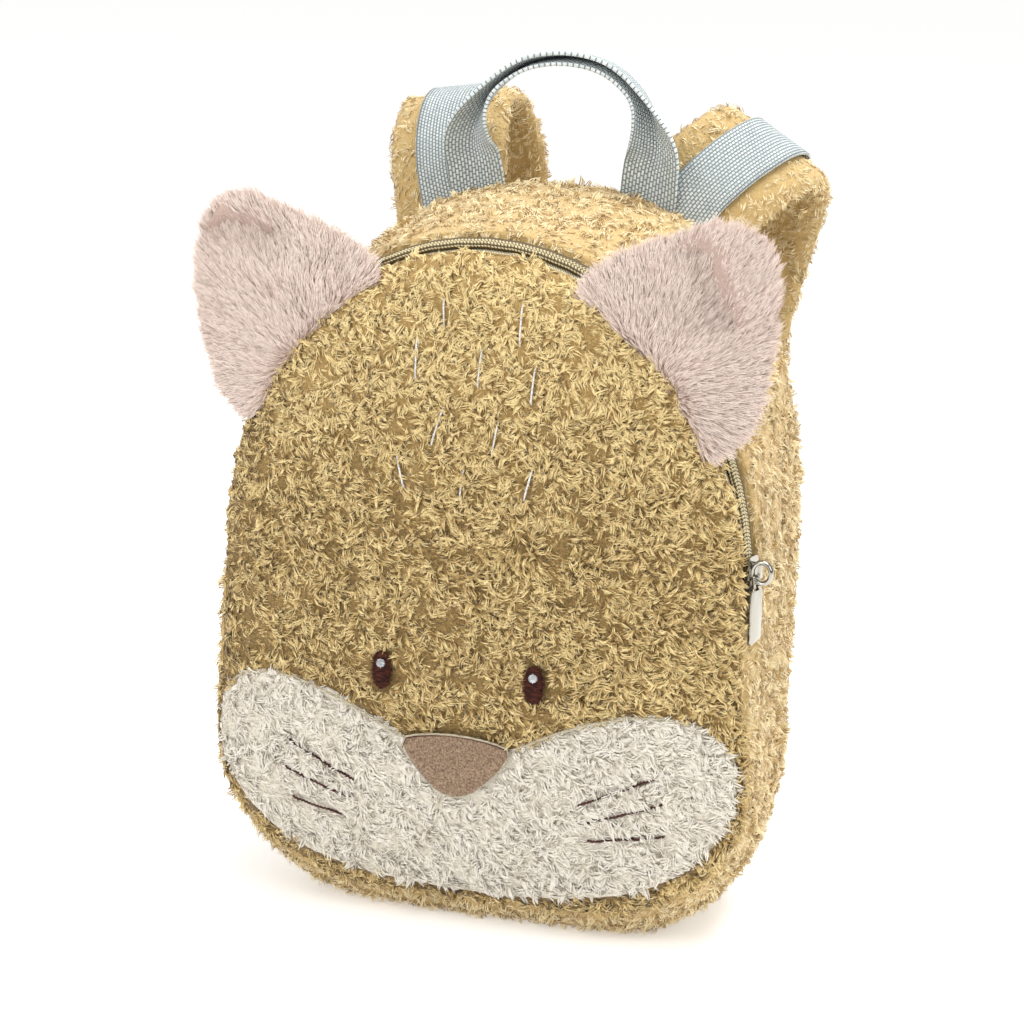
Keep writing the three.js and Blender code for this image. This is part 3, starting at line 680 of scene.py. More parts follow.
@dataclass(frozen=True)
class Pile:
    """Locks of hair that grow from a shell, all of one yarn."""

    per_cm2: float
    length: float
    width: float
    curl: float
    lift: float
    swirl: float
    swirl_mm: float
    jitter: float
    roll: float = 0.7
    variants: int = 8
    hairs: int = 4
    hair: float = 0.5
    clump: float = 0.5
    seed: int = 1

    def _tuft(self, variant: int) -> bpy.types.Object:
        """One curled lock of hairs that grows along Z, with its broad side towards X.

        Args:
            variant: Number of the variant, which sets its curl.

        Returns:
            The lock's object.
        """
        draw = random.Random(97 * self.seed + variant)
        bend = max(1e-3, self.curl * draw.uniform(0.5, 1.3))
        sway = draw.uniform(-0.5, 0.5) * min(1.0, self.curl)
        bm = bmesh.new()
        height = bm.verts.layers.float.new("tip")
        across = bm.verts.layers.float.new("strand")
        for k in range(self.hairs):
            root = (k / max(1, self.hairs - 1) - 0.5) * self.width if self.hairs > 1 else 0.0
            depth = draw.uniform(-0.3, 0.3) * self.width
            length = self.length * draw.uniform(0.75, 1.15)
            own = max(1e-3, bend * draw.uniform(0.7, 1.3))
            tone = draw.uniform(-1, 1)
            hair = bmesh.ops.create_grid(bm, x_segments=1, y_segments=2, size=1.0)["verts"]
            for vert in hair:
                share, side = (vert.co.y + 1) / 2, vert.co.x
                vert[height], vert[across] = share, tone
                half = self.hair / 2 * (0.9 + 0.5 * share) * (1 - share ** 3)
                angle = own * share
                middle = root * (1 - self.clump * share) + sway * length * share ** 2
                vert.co = Vector((depth - length * (1 - math.cos(angle)) / own, middle + side * half,
                                  length * math.sin(angle) / own)) * MM
        bmesh.ops.remove_doubles(bm, verts=bm.verts, dist=1e-7)
        bmesh.ops.recalc_face_normals(bm, faces=bm.faces)
        for face in bm.faces:
            face.smooth = True
            if face.normal.x < 0:
                face.normal_flip()
        mesh = bpy.data.meshes.new(f"tuft_{variant}")
        bm.to_mesh(mesh)
        bm.free()
        return bpy.data.objects.new(f"tuft_{variant}", mesh)

    def _tree(self, tufts: bpy.types.Collection, keep_base: bool) -> bpy.types.NodeTree:
        """Node group that scatters the tufts over a shell.

        Args:
            tufts: Collection of the tuft's variants.
            keep_base: Whether the shell itself stays in the result.

        Returns:
            The node group.
        """
        tree = bpy.data.node_groups.new("pile", "GeometryNodeTree")
        for way in ("INPUT", "OUTPUT"):
            tree.interface.new_socket("Geometry", in_out=way, socket_type="NodeSocketGeometry")
        base = add_node(tree, "NodeGroupInput").outputs[0]
        share = add_node(tree, "GeometryNodeInputNamedAttribute", values={"Name": "pile"},
                         data_type="FLOAT")
        nap = add_node(tree, "GeometryNodeInputNamedAttribute", values={"Name": "nap"},
                       data_type="FLOAT_VECTOR")
        spacing = math.sqrt(0.7 / (self.per_cm2 * 1e4))
        spots = add_node(tree, "GeometryNodeDistributePointsOnFaces",
                         {"Mesh": base, "Density Factor": share.outputs["Attribute"]},
                         {"Distance Min": spacing, "Density Max": 4 / spacing ** 2, "Seed": self.seed},
                         distribute_method="POISSON")
        place = add_node(tree, "GeometryNodeInputPosition")
        field_noise = add_node(tree, "ShaderNodeTexNoise", {"Vector": place.outputs[0]},
                               {"Scale": 1 / (self.swirl_mm * MM), "Detail": 1.0})
        centred = add_node(tree, "ShaderNodeVectorMath", {0: field_noise.outputs["Color"]},
                           {1: (0.5, 0.5, 0.5)}, operation="SUBTRACT")
        swirl = add_node(tree, "ShaderNodeVectorMath", {0: centred.outputs[0]},
                         operation="SCALE", values={"Scale": self.swirl * 4})
        scatter = add_node(tree, "FunctionNodeRandomValue",
                           values={0: (-1, -1, -1), 1: (1, 1, 1), "Seed": self.seed + 1},
                           data_type="FLOAT_VECTOR")
        jitter = add_node(tree, "ShaderNodeVectorMath", {0: scatter.outputs[0]}, operation="SCALE",
                          values={"Scale": self.jitter})
        upright = add_node(tree, "ShaderNodeVectorMath", {0: spots.outputs["Normal"]}, operation="SCALE",
                           values={"Scale": self.lift})
        total = nap.outputs["Attribute"]
        for part in (swirl, jitter, upright):
            total = add_node(tree, "ShaderNodeVectorMath", {0: total, 1: part.outputs[0]},
                             operation="ADD").outputs[0]
        grown = add_node(tree, "FunctionNodeAlignRotationToVector", {"Vector": total}, axis="Z")
        turned = add_node(tree, "FunctionNodeAlignRotationToVector",
                          {"Rotation": grown.outputs[0], "Vector": spots.outputs["Normal"]},
                          axis="X", pivot_axis="Z")
        angle = add_node(tree, "FunctionNodeRandomValue",
                         values={2: -self.roll, 3: self.roll, "Seed": self.seed + 2}, data_type="FLOAT")
        spin = add_node(tree, "FunctionNodeAxisAngleToRotation", {"Angle": angle.outputs[1]},
                        {"Axis": (0, 0, 1)})
        rotation = add_node(tree, "FunctionNodeRotateRotation",
                            {"Rotation": turned.outputs[0], "Rotate By": spin.outputs[0]},
                            rotation_space="LOCAL")
        size = add_node(tree, "FunctionNodeRandomValue",
                        values={2: 0.7, 3: 1.25, "Seed": self.seed + 3}, data_type="FLOAT")
        shorter = add_node(tree, "ShaderNodeMapRange", {"Value": share.outputs["Attribute"]},
                           {"To Min": 0.55, "To Max": 1.0})
        scale = add_node(tree, "ShaderNodeMath", {0: size.outputs[1], 1: shorter.outputs["Result"]},
                         operation="MULTIPLY")
        source = add_node(tree, "GeometryNodeCollectionInfo",
                          values={"Collection": tufts, "Separate Children": True, "Reset Children": True})
        planted = add_node(tree, "GeometryNodeInstanceOnPoints",
                           {"Points": spots.outputs["Points"], "Instance": source.outputs[0],
                            "Rotation": rotation.outputs[0], "Scale": scale.outputs[0]},
                           {"Pick Instance": True})
        tone = add_node(tree, "FunctionNodeRandomValue",
                        values={2: 0.0, 3: 1.0, "Seed": self.seed + 4}, data_type="FLOAT")
        toned = add_node(tree, "GeometryNodeStoreNamedAttribute",
                         {"Geometry": planted.outputs[0], "Value": tone.outputs[1]}, {"Name": "tuft"},
                         data_type="FLOAT", domain="INSTANCE")
        real = add_node(tree, "GeometryNodeRealizeInstances", {"Geometry": toned.outputs[0]})
        result = real.outputs[0]
        if keep_base:
            joined = add_node(tree, "GeometryNodeJoinGeometry")
            tree.links.new(real.outputs[0], joined.inputs[0])
            tree.links.new(base, joined.inputs[0])
            result = joined.outputs[0]
        add_node(tree, "NodeGroupOutput", {0: result})
        return tree

    def grow(self, shell: bpy.types.Object, name: str, finish: Any,
             keep_base: bool) -> bpy.types.Object:
        """Grows the pile as a mesh of its own, or together with its shell.

        Args:
            shell: Object with the attributes pile and nap.
            name: Name of the new piece.
            finish: Finish of the pile.
            keep_base: Whether the shell becomes part of the new piece.

        Returns:
            The new piece.
        """
        tufts = bpy.data.collections.new("tufts")
        variants = [self._tuft(k) for k in range(self.variants)]
        for variant in variants:
            tufts.objects.link(variant)
        grown = bpy.data.objects.new(name, shell.data.copy())
        bpy.context.scene.collection.objects.link(grown)
        growth = grown.modifiers.new("pile", "NODES")
        growth.node_group = self._tree(tufts, keep_base)
        group = growth.node_group
        apply_modifiers(grown)
        grown.data.name = name
        grown.data.materials.clear()
        grown.data.materials.append(finish.material())
        bpy.data.node_groups.remove(group)
        for variant in variants:
            bpy.data.meshes.remove(variant.data)
        bpy.data.collections.remove(tufts)
        return grown


def note(obj: bpy.types.Object) -> bpy.types.Object:
    """Reports a finished piece.

    Args:
        obj: The piece.

    Returns:
        The same piece.
    """
    triangles = sum(len(face.vertices) - 2 for face in obj.data.polygons)
    LOG.info("%s: %d triangles", obj.name, triangles)
    return obj


def fit(obj: bpy.types.Object, slot: str, *nodes: str, body: str = "bag") -> bpy.types.Object:
    """Hangs a finished piece on its body, in place of the CAD nodes that it stands for.

    Args:
        obj: The piece.
        slot: Material slot of the record; not used.
        nodes: CAD nodes that it replaces.
        body: Body that it rides.

    Returns:
        The same piece.
    """
    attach(obj, body)
    if nodes:
        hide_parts(*nodes)
    return note(obj)


def dress_node(node: str, finish: Any) -> bpy.types.Object:
    """Gives a CAD node that stays as it is its finish.

    Args:
        node: Name of the node.
        finish: Its finish.

    Returns:
        The node's object.
    """
    part = NODES[node]
    part.data.materials.clear()
    part.data.materials.append(finish.material())
    return part


def upholster(form: SoftShell, pile: Pile, name: str, slot: str) -> None:
    """Makes one padded piece, its cloth together with its pile, in place of its CAD node.

    Args:
        form: Cloth of the piece.
        pile: Pile that grows on it.
        name: Name of the piece.
        slot: Material slot of the record.
    """
    shell = form.build()
    piece = pile.grow(shell, name, form.finish, True)
    fit(piece, slot, form.node)
    bpy.data.meshes.remove(shell.data)


def strew(unit: bmesh.types.BMesh, places: Iterable[Matrix], name: str,
          finish: Any) -> bpy.types.Object:
    """Joins many copies of one small shape into a single piece.

    Args:
        unit: The small shape; it is freed.
        places: Matrix of each copy.
        name: Name of the piece.
        finish: Its finish.

    Returns:
        The new piece.
    """
    part = bpy.data.meshes.new("unit")
    unit.to_mesh(part)
    unit.free()
    bm = bmesh.new()
    for place in places:
        before = len(bm.verts)
        bm.from_mesh(part)
        bm.verts.ensure_lookup_table()
        bmesh.ops.transform(bm, matrix=place, verts=bm.verts[before:])
    bpy.data.meshes.remove(part)
    return from_bmesh(bm, name, finish)


def stitch_unit(segments: int = 6, rings: int = 5) -> bmesh.types.BMesh:
    """One stitch as a slender bead of unit size along X.

    Args:
        segments: Faces round it.
        rings: Rings along it.

    Returns:
        The bmesh of the bead.
    """
    bm = bmesh.new()
    bmesh.ops.create_uvsphere(bm, u_segments=segments, v_segments=rings, radius=0.5)
    bmesh.ops.rotate(bm, verts=bm.verts, cent=(0, 0, 0), matrix=Matrix.Rotation(math.pi / 2, 3, "Y"))
    return bm


def placed(middle: Vector, along: Vector, out: Vector, size: Vector) -> Matrix:
    """Matrix that lays a unit shape along a direction.

    Args:
        middle: Its middle.
        along: Direction of its X.
        out: Direction near its Z.
        size: Its length, width and height in millimetres.

    Returns:
        The matrix.
    """
    x = along.normalized()
    y = out.cross(x).normalized()
    z = x.cross(y)
    turn = Matrix((x, y, z)).transposed().to_4x4()
    return Matrix.Translation(middle) @ turn @ Matrix.Diagonal((*(size * MM), 1.0))


def stitched_line(points: Sequence[Vector], outs: Sequence[Vector], pitch: float, size: Vector,
                  slant: float) -> list[Matrix]:
    """Places of stitches that follow a line, each a little slanted, as in a twisted thread.

    Args:
        points: The line in metres.
        outs: Outward direction at each point.
        pitch: Distance from stitch to stitch in millimetres.
        size: Length, width and height of a stitch in millimetres.
        slant: Angle of each stitch off the line, in radians.

    Returns:
        A matrix for each stitch.
    """
    places: list[Matrix] = []
    carry = 0.0
    for k in range(len(points) - 1):
        step = points[k + 1] - points[k]
        length = step.length / MM
        if length < 1e-6:
            continue
        at = carry
        while at < length:
            share = at / length
            out = outs[k].lerp(outs[k + 1], share).normalized()
            turn = Matrix.Rotation(slant, 3, out)
            places.append(placed(points[k].lerp(points[k + 1], share), turn @ step, out, size))
            at += pitch
        carry = at - length
    return places


@dataclass
class EmbroideredFace:
    """Nose, eyes, whiskers and brow stitches of the cat."""

    brow: Sequence[Row] = (
        (-12.9, 267.1, -11.7, 256.1), (21.3, 268, 21.4, 251), (-23.4, 251.3, -23, 233.7),
        (5.6, 249.8, 4.5, 232.8), (28.8, 243.1, 27.7, 228.2), (-10, 223.9, -14.8, 207.8),
        (14.2, 219.7, 12, 205.5), (-30.1, 203.2, -26.1, 189.1), (-0.1, 199, -1.3, 185.2),
        (30.2, 203.6, 26.4, 188.1),
    )
    whiskers: Sequence[Row] = (
        (-80.9, 75, -48, 60.2), (-83.4, 62.2, -51.2, 52.4), (-79.9, 49.1, -52.9, 43.4),
        (52.1, 63, 83.9, 77.4), (54.6, 55, 88.2, 66.9), (55.3, 47.1, 88.1, 52.6),
    )
    brow_thread: Vector = field(default_factory=lambda: Vector((1.5, 0.85, 0.7)))
    whisker_thread: Vector = field(default_factory=lambda: Vector((2.2, 1.15, 1.2)))
    edge_stitch: Vector = field(default_factory=lambda: Vector((1.5, 0.62, 0.7)))
    satin: float = 0.44
    nose_lean: float = 2.2
    nose_swell: float = 1.3
    eye_drop: dict[Side, float] = field(default_factory=lambda: {Side.LEFT: 1.9, Side.RIGHT: 0.8})
    edge_pitch: float = 0.62
    cord_stitch: Vector = field(default_factory=lambda: Vector((2.1, 1.0, 1.0)))
    cord_pitch: float = 1.3
    cord_heart: tuple[float, float] = (0.0, 52.0)
    cord_ends: tuple[float, float] = (-8.0, 158.0)

    def seams(self, rows: Sequence[Row], draw: float, cover: float) -> list[Seam]:
        """Seams that a table of stitched lines draws into the front.

        Args:
            rows: Start and end of each line, x and z in millimetres.
            draw: Depth that the cloth is drawn in, in millimetres.
            cover: Share of the pile that still grows on the line.

        Returns:
            A seam for each line.
        """
        return [Seam(on_face(x0, z0), on_face(x1, z1), draw, cover) for x0, z0, x1, z1 in rows]

    def bare(self) -> Clearing:
        """Bare place under the nose and the eyes.

        Returns:
            The clearing, with the eyes at the height of their stitches.
        """
        bm = bmesh.new()
        drops = {"nose_patch": 0.0, **{f"eye_{side.word}": self.eye_drop[side] for side in Side}}
        for node, drop in drops.items():
            before = len(bm.verts)
            bm.from_mesh(NODES[node].data)
            bm.verts.ensure_lookup_table()
            bmesh.ops.translate(bm, verts=bm.verts[before:], vec=(0, 0, -drop * MM))
        tree = BVHTree.FromBMesh(bm)
        bm.free()
        return Clearing(tree, 1.3, 1.2)

    def build(self) -> None:
        """Makes every embroidered piece."""
        self._lines(self.brow, self.brow_thread, -1.2, 0.85, 0.0, "brow_stitches", SILVER,
                    "glint_thread")
        self._lines(self.whiskers, self.whisker_thread, -1.2, 1.7, 1.8, "whisker_stitches", WHISKER,
                    "eye_thread")
        for side in Side:
            self._eye(side)
        self._nose()
        self._muzzle_edge()

    def _lines(self, rows: Sequence[Row], size: Vector, out: float,
               pitch: float, wave: float, name: str, finish: Thread, slot: str) -> None:
        """Lays the stitches of a table of lines on the front as one piece.

        Args:
            rows: Start and end of each line, x and z in millimetres.
            size: Length, width and height of a stitch in millimetres.
            out: Distance of the thread in front of the mean surface, in millimetres.
            pitch: Distance from stitch to stitch in millimetres.
            wave: Depth by which the thread dips into the pile here and there, in millimetres.
            name: Name of the piece.
            finish: Its thread.
            slot: Material slot of the record.
        """
        places: list[Matrix] = []
        for x0, z0, x1, z1 in rows:
            line, outs = [], []
            for k in range(13):
                x, z = x0 + (x1 - x0) * k / 12, z0 + (z1 - z0) * k / 12
                dip = 1.2 * (2 * k / 12 - 1) ** 6 + wave * (0.5 + noise.noise(Vector((x, z, 7)) / 5))
                line.append(on_face(x, z, out - dip))
                outs.append(face_normal(x, z))
            places += stitched_line(line, outs, pitch, size, 0.32)
        fit(strew(stitch_unit(), places, name, finish), slot)

    def _eye(self, side: Side) -> None:
        """Satin stitches of one eye, with its glint."""
        low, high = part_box(f"eye_{side.word}")
        middle, half = (low + high) / 2 / MM, (high - low) / 2 / MM
        draw = random.Random(31 + side.value)
        places: list[Matrix] = []
        rows = int(2 * half.z / self.satin)
        for k in range(rows + 1):
            z = -half.z + 2 * half.z * k / rows
            reach = half.x * math.sqrt(max(0.0, 1 - (z / half.z) ** 2)) * draw.uniform(0.84, 1.08) + 0.8
            shift = draw.uniform(-0.3, 0.3)
            place = on_face(middle.x + shift, middle.z + z - self.eye_drop[side], 1.4)
            along = on_face(middle.x + 2, middle.z + z + 0.25) - on_face(middle.x - 2, middle.z + z)
            places.append(placed(place, along, face_normal(middle.x, middle.z),
                                 Vector((2 * reach, self.satin * 1.35, 1.5))))
        fit(strew(stitch_unit(6, 7), places, f"eye_{side.word}_satin", EYE), "eye_thread",
            f"eye_{side.word}")
        low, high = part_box(f"glint_{side.word}")
        middle, half = (low + high) / 2 / MM, (high - low) / 2 / MM
        places = []
        for k in range(9):
            z = half.z * (k / 4 - 1)
            reach = half.x * math.sqrt(max(0.0, 1 - (z / half.z) ** 2)) + 0.2
            place = on_face(middle.x, middle.z + z - self.eye_drop[side], 2.3)
            places.append(placed(place, Vector((1, 0, 0.05)), face_normal(middle.x, middle.z),
                                 Vector((2 * reach, 0.62, 1.1))))
        fit(strew(stitch_unit(6, 7), places, f"glint_{side.word}_satin", GLINT), "glint_thread",
            f"glint_{side.word}")

    def _nose(self) -> None:
        """Velour nose with a satin edge, and a dark brown thread just under its top edge that paints the
        edge's shadow.
        """
        bm = merged_copy("nose_patch")
        bmesh.ops.subdivide_edges(bm, edges=bm.edges, cuts=3, use_grid_fill=True)
        low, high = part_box("nose_patch")
        middle, half = (low + high) / 2, (high - low) / 2
        for vert in bm.verts:
            share = min(1.0, math.hypot((vert.co.x - middle.x) / half.x, (vert.co.z - middle.z) / half.z))
            vert.co.y -= 0.9 * MM * (1 - share ** 2)
            vert.co.x += self._nose_shift(vert.co, low.z, high.z)
        fit(from_bmesh(bm, "nose_velour_patch", NOSE), "nose_velour", "nose_patch")
        rim = [p + Vector((self._nose_shift(p, low.z, high.z), 0, 0)) for p in self._rim("nose_patch")]
        outs = [face_normal(p.x / MM, p.z / MM) for p in rim]
        line = [on_face(p.x / MM, p.z / MM, 1.5) for p in rim]
        places = stitched_line(line, outs, self.edge_pitch, self.edge_stitch, 0.5)
        fit(strew(stitch_unit(), places, "nose_edge_stitches", EDGE), "nose_velour")
        # Painted shadow: a line of dark brown thread just under the edge cord at the top of the nose.
        under = [(p - Vector((0, 0, 0.8 * MM)), out) for p, out in zip(line, outs)
                 if p.z > high.z - 7.5 * MM]
        under.sort(key=lambda pair: pair[0].x)
        places = stitched_line([p for p, _ in under], [out for _, out in under], 1.2,
                               Vector((1.6, 0.5, 0.6)), 0.2)
        fit(strew(stitch_unit(), places, "nose_top_stitches", WHISKER), "eye_thread")

    def _nose_shift(self, point: Vector, low: float, high: float) -> float:
        """Sideways move, in metres, that leans the nose's tip and swells its sides."""
        share = min(1.0, max(0.0, (high - point.z) / (high - low)))
        swell = math.copysign(self.nose_swell * math.sin(math.pi * share), point.x)
        return (swell * min(1.0, abs(point.x) / MM / 6) - self.nose_lean * share) * MM

    def _rim(self, node: str) -> list[Vector]:
        """Outer outline of a thin patch, from its own solid.

        Args:
            node: Name of the patch's node.

        Returns:
            The outline's points in order, the first again at the end.
        """
        points = [vert.co.copy() for vert in NODES[node].data.vertices]
        middle = sum(points, Vector()) / len(points)
        far: dict[int, Vector] = {}
        for point in points:
            key = round(math.atan2(point.z - middle.z, point.x - middle.x) * 30)
            if key not in far or (point - middle).xz.length > (far[key] - middle).xz.length:
                far[key] = point
        reach = max((p - middle).xz.length for p in far.values())
        ring = [far[key] for key in sorted(far) if (far[key] - middle).xz.length > reach * 0.25]
        return ring + ring[:1]

    def _muzzle_edge(self) -> None:
        """Stitched cord round the muzzle's top, which dives under the nose and at the cheeks."""
        tree = solid_tree("muzzle_patch")
        middle_x, middle_z = self.cord_heart
        line, outs = [], []
        for k in range(181):
            angle = math.radians(mix(*self.cord_ends, k / 180))
            low, high = 5.0, 130.0
            for _ in range(16):
                reach = (low + high) / 2
                start = Vector(((middle_x + reach * math.cos(angle)) * MM, -0.3,
                                (middle_z + reach * math.sin(angle)) * MM))
                if tree.ray_cast(start, Vector((0, 1, 0)))[0] is None:
                    high = reach
                else:
                    low = reach
            x, z = middle_x + low * math.cos(angle), middle_z + low * math.sin(angle)
            out = mix(-1.6, 1.9, smooth(abs(x), 21, 27)) - 2.6 * smooth(abs(x), 55, 92)
            line.append(on_face(x, z, out))
            outs.append(face_normal(x * 0.97, z))
        places = stitched_line(line, outs, self.cord_pitch, self.cord_stitch, 0.4)
        fit(strew(stitch_unit(), places, "muzzle_edge_stitches", EDGE), "cream_plush")


@dataclass
class PlushBody:
    """Front with its muzzle, gusset and back, in curly plush."""

    face: EmbroideredFace
    sand: Pile = Pile(30, 4.8, 1.7, 1.9, 0.55, 1.0, 7.0, 0.38, hair=0.52, seed=3)
    wall: Pile = Pile(26, 4.4, 1.8, 1.5, 0.5, 0.8, 8.0, 0.42, hairs=3, hair=0.52, seed=5)
    rear: Pile = Pile(18, 4.4, 2.0, 1.3, 0.5, 0.8, 8.0, 0.5, hairs=2, hair=1.0, seed=7)
    tab_rest: Seam = Seam(Vector((0.118, -0.0415, 0.172)), Vector((0.118, -0.0415, 0.133)),
                          draw=3.0, cover=0.15, part=5.0, reach=8.0)
    cream: Pile = Pile(62, 4.6, 1.8, 1.5, 0.5, 0.9, 7.0, 0.4, hair=0.6, seed=9)

    def build(self) -> None:
        """Makes the four cloth shells with their pile."""
        patches = self.face.bare()
        brows = self.face.seams(self.face.brow, 1.4, 0.0)
        cheeks = self.face.seams(self.face.whiskers, 2.6, 0.95)
        zip_edge = Clearing(solid_tree("zip_tape_front", "zip_tape_back", "zip_chain"), 0.1, 0.7)
        muzzle_edge = Clearing(solid_tree("muzzle_patch"), -0.6, 1.2)
        front = SoftShell("front_panel", "front_cloth", SAND, seams=brows, nap=self._combed,
                          cuts=3, relax=1, lumps=1.2, lump_mm=6.0,
                          clearings=(patches, muzzle_edge)).build()
        for seed, name, keep in ((33, "front_plush", True), (44, "front_curls", False)):
            piece = replace(self.sand, seed=seed).grow(front, name, SAND, keep)
            if keep:
                fit(piece, "sand_plush", "front_panel")
            else:
                fit(piece, "sand_plush")
        muzzle = SoftShell("muzzle_patch", "muzzle_cloth", CREAM, seams=cheeks, cuts=3, relax=1,
                           clearings=(patches,), nap=self._combed)
        upholster(muzzle, self.cream, "muzzle_plush", "cream_plush")
        gusset = SoftShell("gusset", "gusset_cloth", SAND_PAINTED_LIT, cuts=3, relax=1, sink=-0.6, lumps=0.5,
                           clearings=(zip_edge,), seams=(self.tab_rest,))
        upholster(gusset, self.wall, "gusset_plush", "sand_plush")
        back = SoftShell("back_panel", "back_cloth", SAND_PAINTED_LIT, cuts=3, relax=1)
        upholster(back, self.rear, "back_plush", "sand_plush")
        bpy.data.meshes.remove(front.data)

    @staticmethod
    def _combed(point: Vector, normal: Vector) -> Vector:
        """Lie of the pile on the front, mostly sideways low down and less so on the brow."""
        return Vector((0.55 - 0.35 * smooth(point.z / MM, 150, 220), 0, -0.2))


@dataclass
class FurEars:
    """Two dished ears in straight pale fur that lies away from their seam."""

    overlap: float = 8.5
    forward: float = 4.5
    blunt: float = 5.0
    folds: dict[Side, Sequence[tuple[float, float, float, float, float, float]]] = field(
        default_factory=lambda: {
            Side.RIGHT: ((93.5, 289, 100.8, 267, 6.5, 7), (68, 268, 98, 252, -3, 6),
                         (62, 262, 88, 240, 3, 5)),
            Side.LEFT: ((-117, 289, -97, 284, 6.5, 7), (-90, 270, -70, 268, -3, 7)),
        })
    fur: Pile = Pile(72, 6.4, 1.2, 0.45, 0.36, 0.2, 12.0, 0.17, roll=0.4, hairs=3, hair=0.38,
                     clump=0.1, seed=21)

    def build(self) -> None:
        """Makes both ears."""
        for side in Side:
            node = f"ear_{side.word}"
            seam = Vector((side.value * 0.074, -0.05, 0.232))

            def away(point: Vector, normal: Vector, seam: Vector = seam) -> Vector:
                """Direction of the fur at a point, away from the middle of the seam."""
                way = point - seam
                way -= normal * way.dot(normal)
                return way.normalized() if way.length > 1e-6 else Vector((0, 0, 1))

            def pose(point: Vector, side: Side = side) -> Vector:
                """Move that laps the base over the front, blunts the corner and folds the dish."""
                return self._pose(point, side)

            ear = SoftShell(node, f"{node}_cloth", PINK, voxel=2.0, sink=0.8, lumps=0.25,
                            closed_bag=False, nap=away, pose=pose)
            upholster(ear, self.fur, f"{node}_fur", "ear_fur")

    def _pose(self, point: Vector, side: Side) -> Vector:
        """Move of a point of an ear's cloth, in metres."""
        near = math.exp(-(FACE_TREE.find_nearest(point)[3] / MM / 6) ** 2)
        inward = (Vector((0, point.y, 0.165)) - point).normalized()
        corner = Vector((side.value * 0.124, point.y, 0.304))
        core = Vector((side.value * 0.095, point.y, 0.265))
        tip = math.exp(-((point - corner).length / MM / 13) ** 2)
        move = inward * self.overlap * near + (core - point).normalized() * self.blunt * tip
        move.y -= self.forward * near
        for x0, z0, x1, z1, depth, reach in self.folds[side]:
            fold = Seam(Vector((x0 * MM, point.y, z0 * MM)), Vector((x1 * MM, point.y, z1 * MM)))
            move.y += depth * math.exp(-(fold.distance(point) / MM / reach) ** 2)
        return move * MM


@dataclass(frozen=True)
class CoilRow:
    """One row of threads along the chain, in millimetres from its middle, turned towards its side."""

    across: float
    shift: float
    rise: float
    slant: float
    turn: float
    size: tuple[float, float, float]


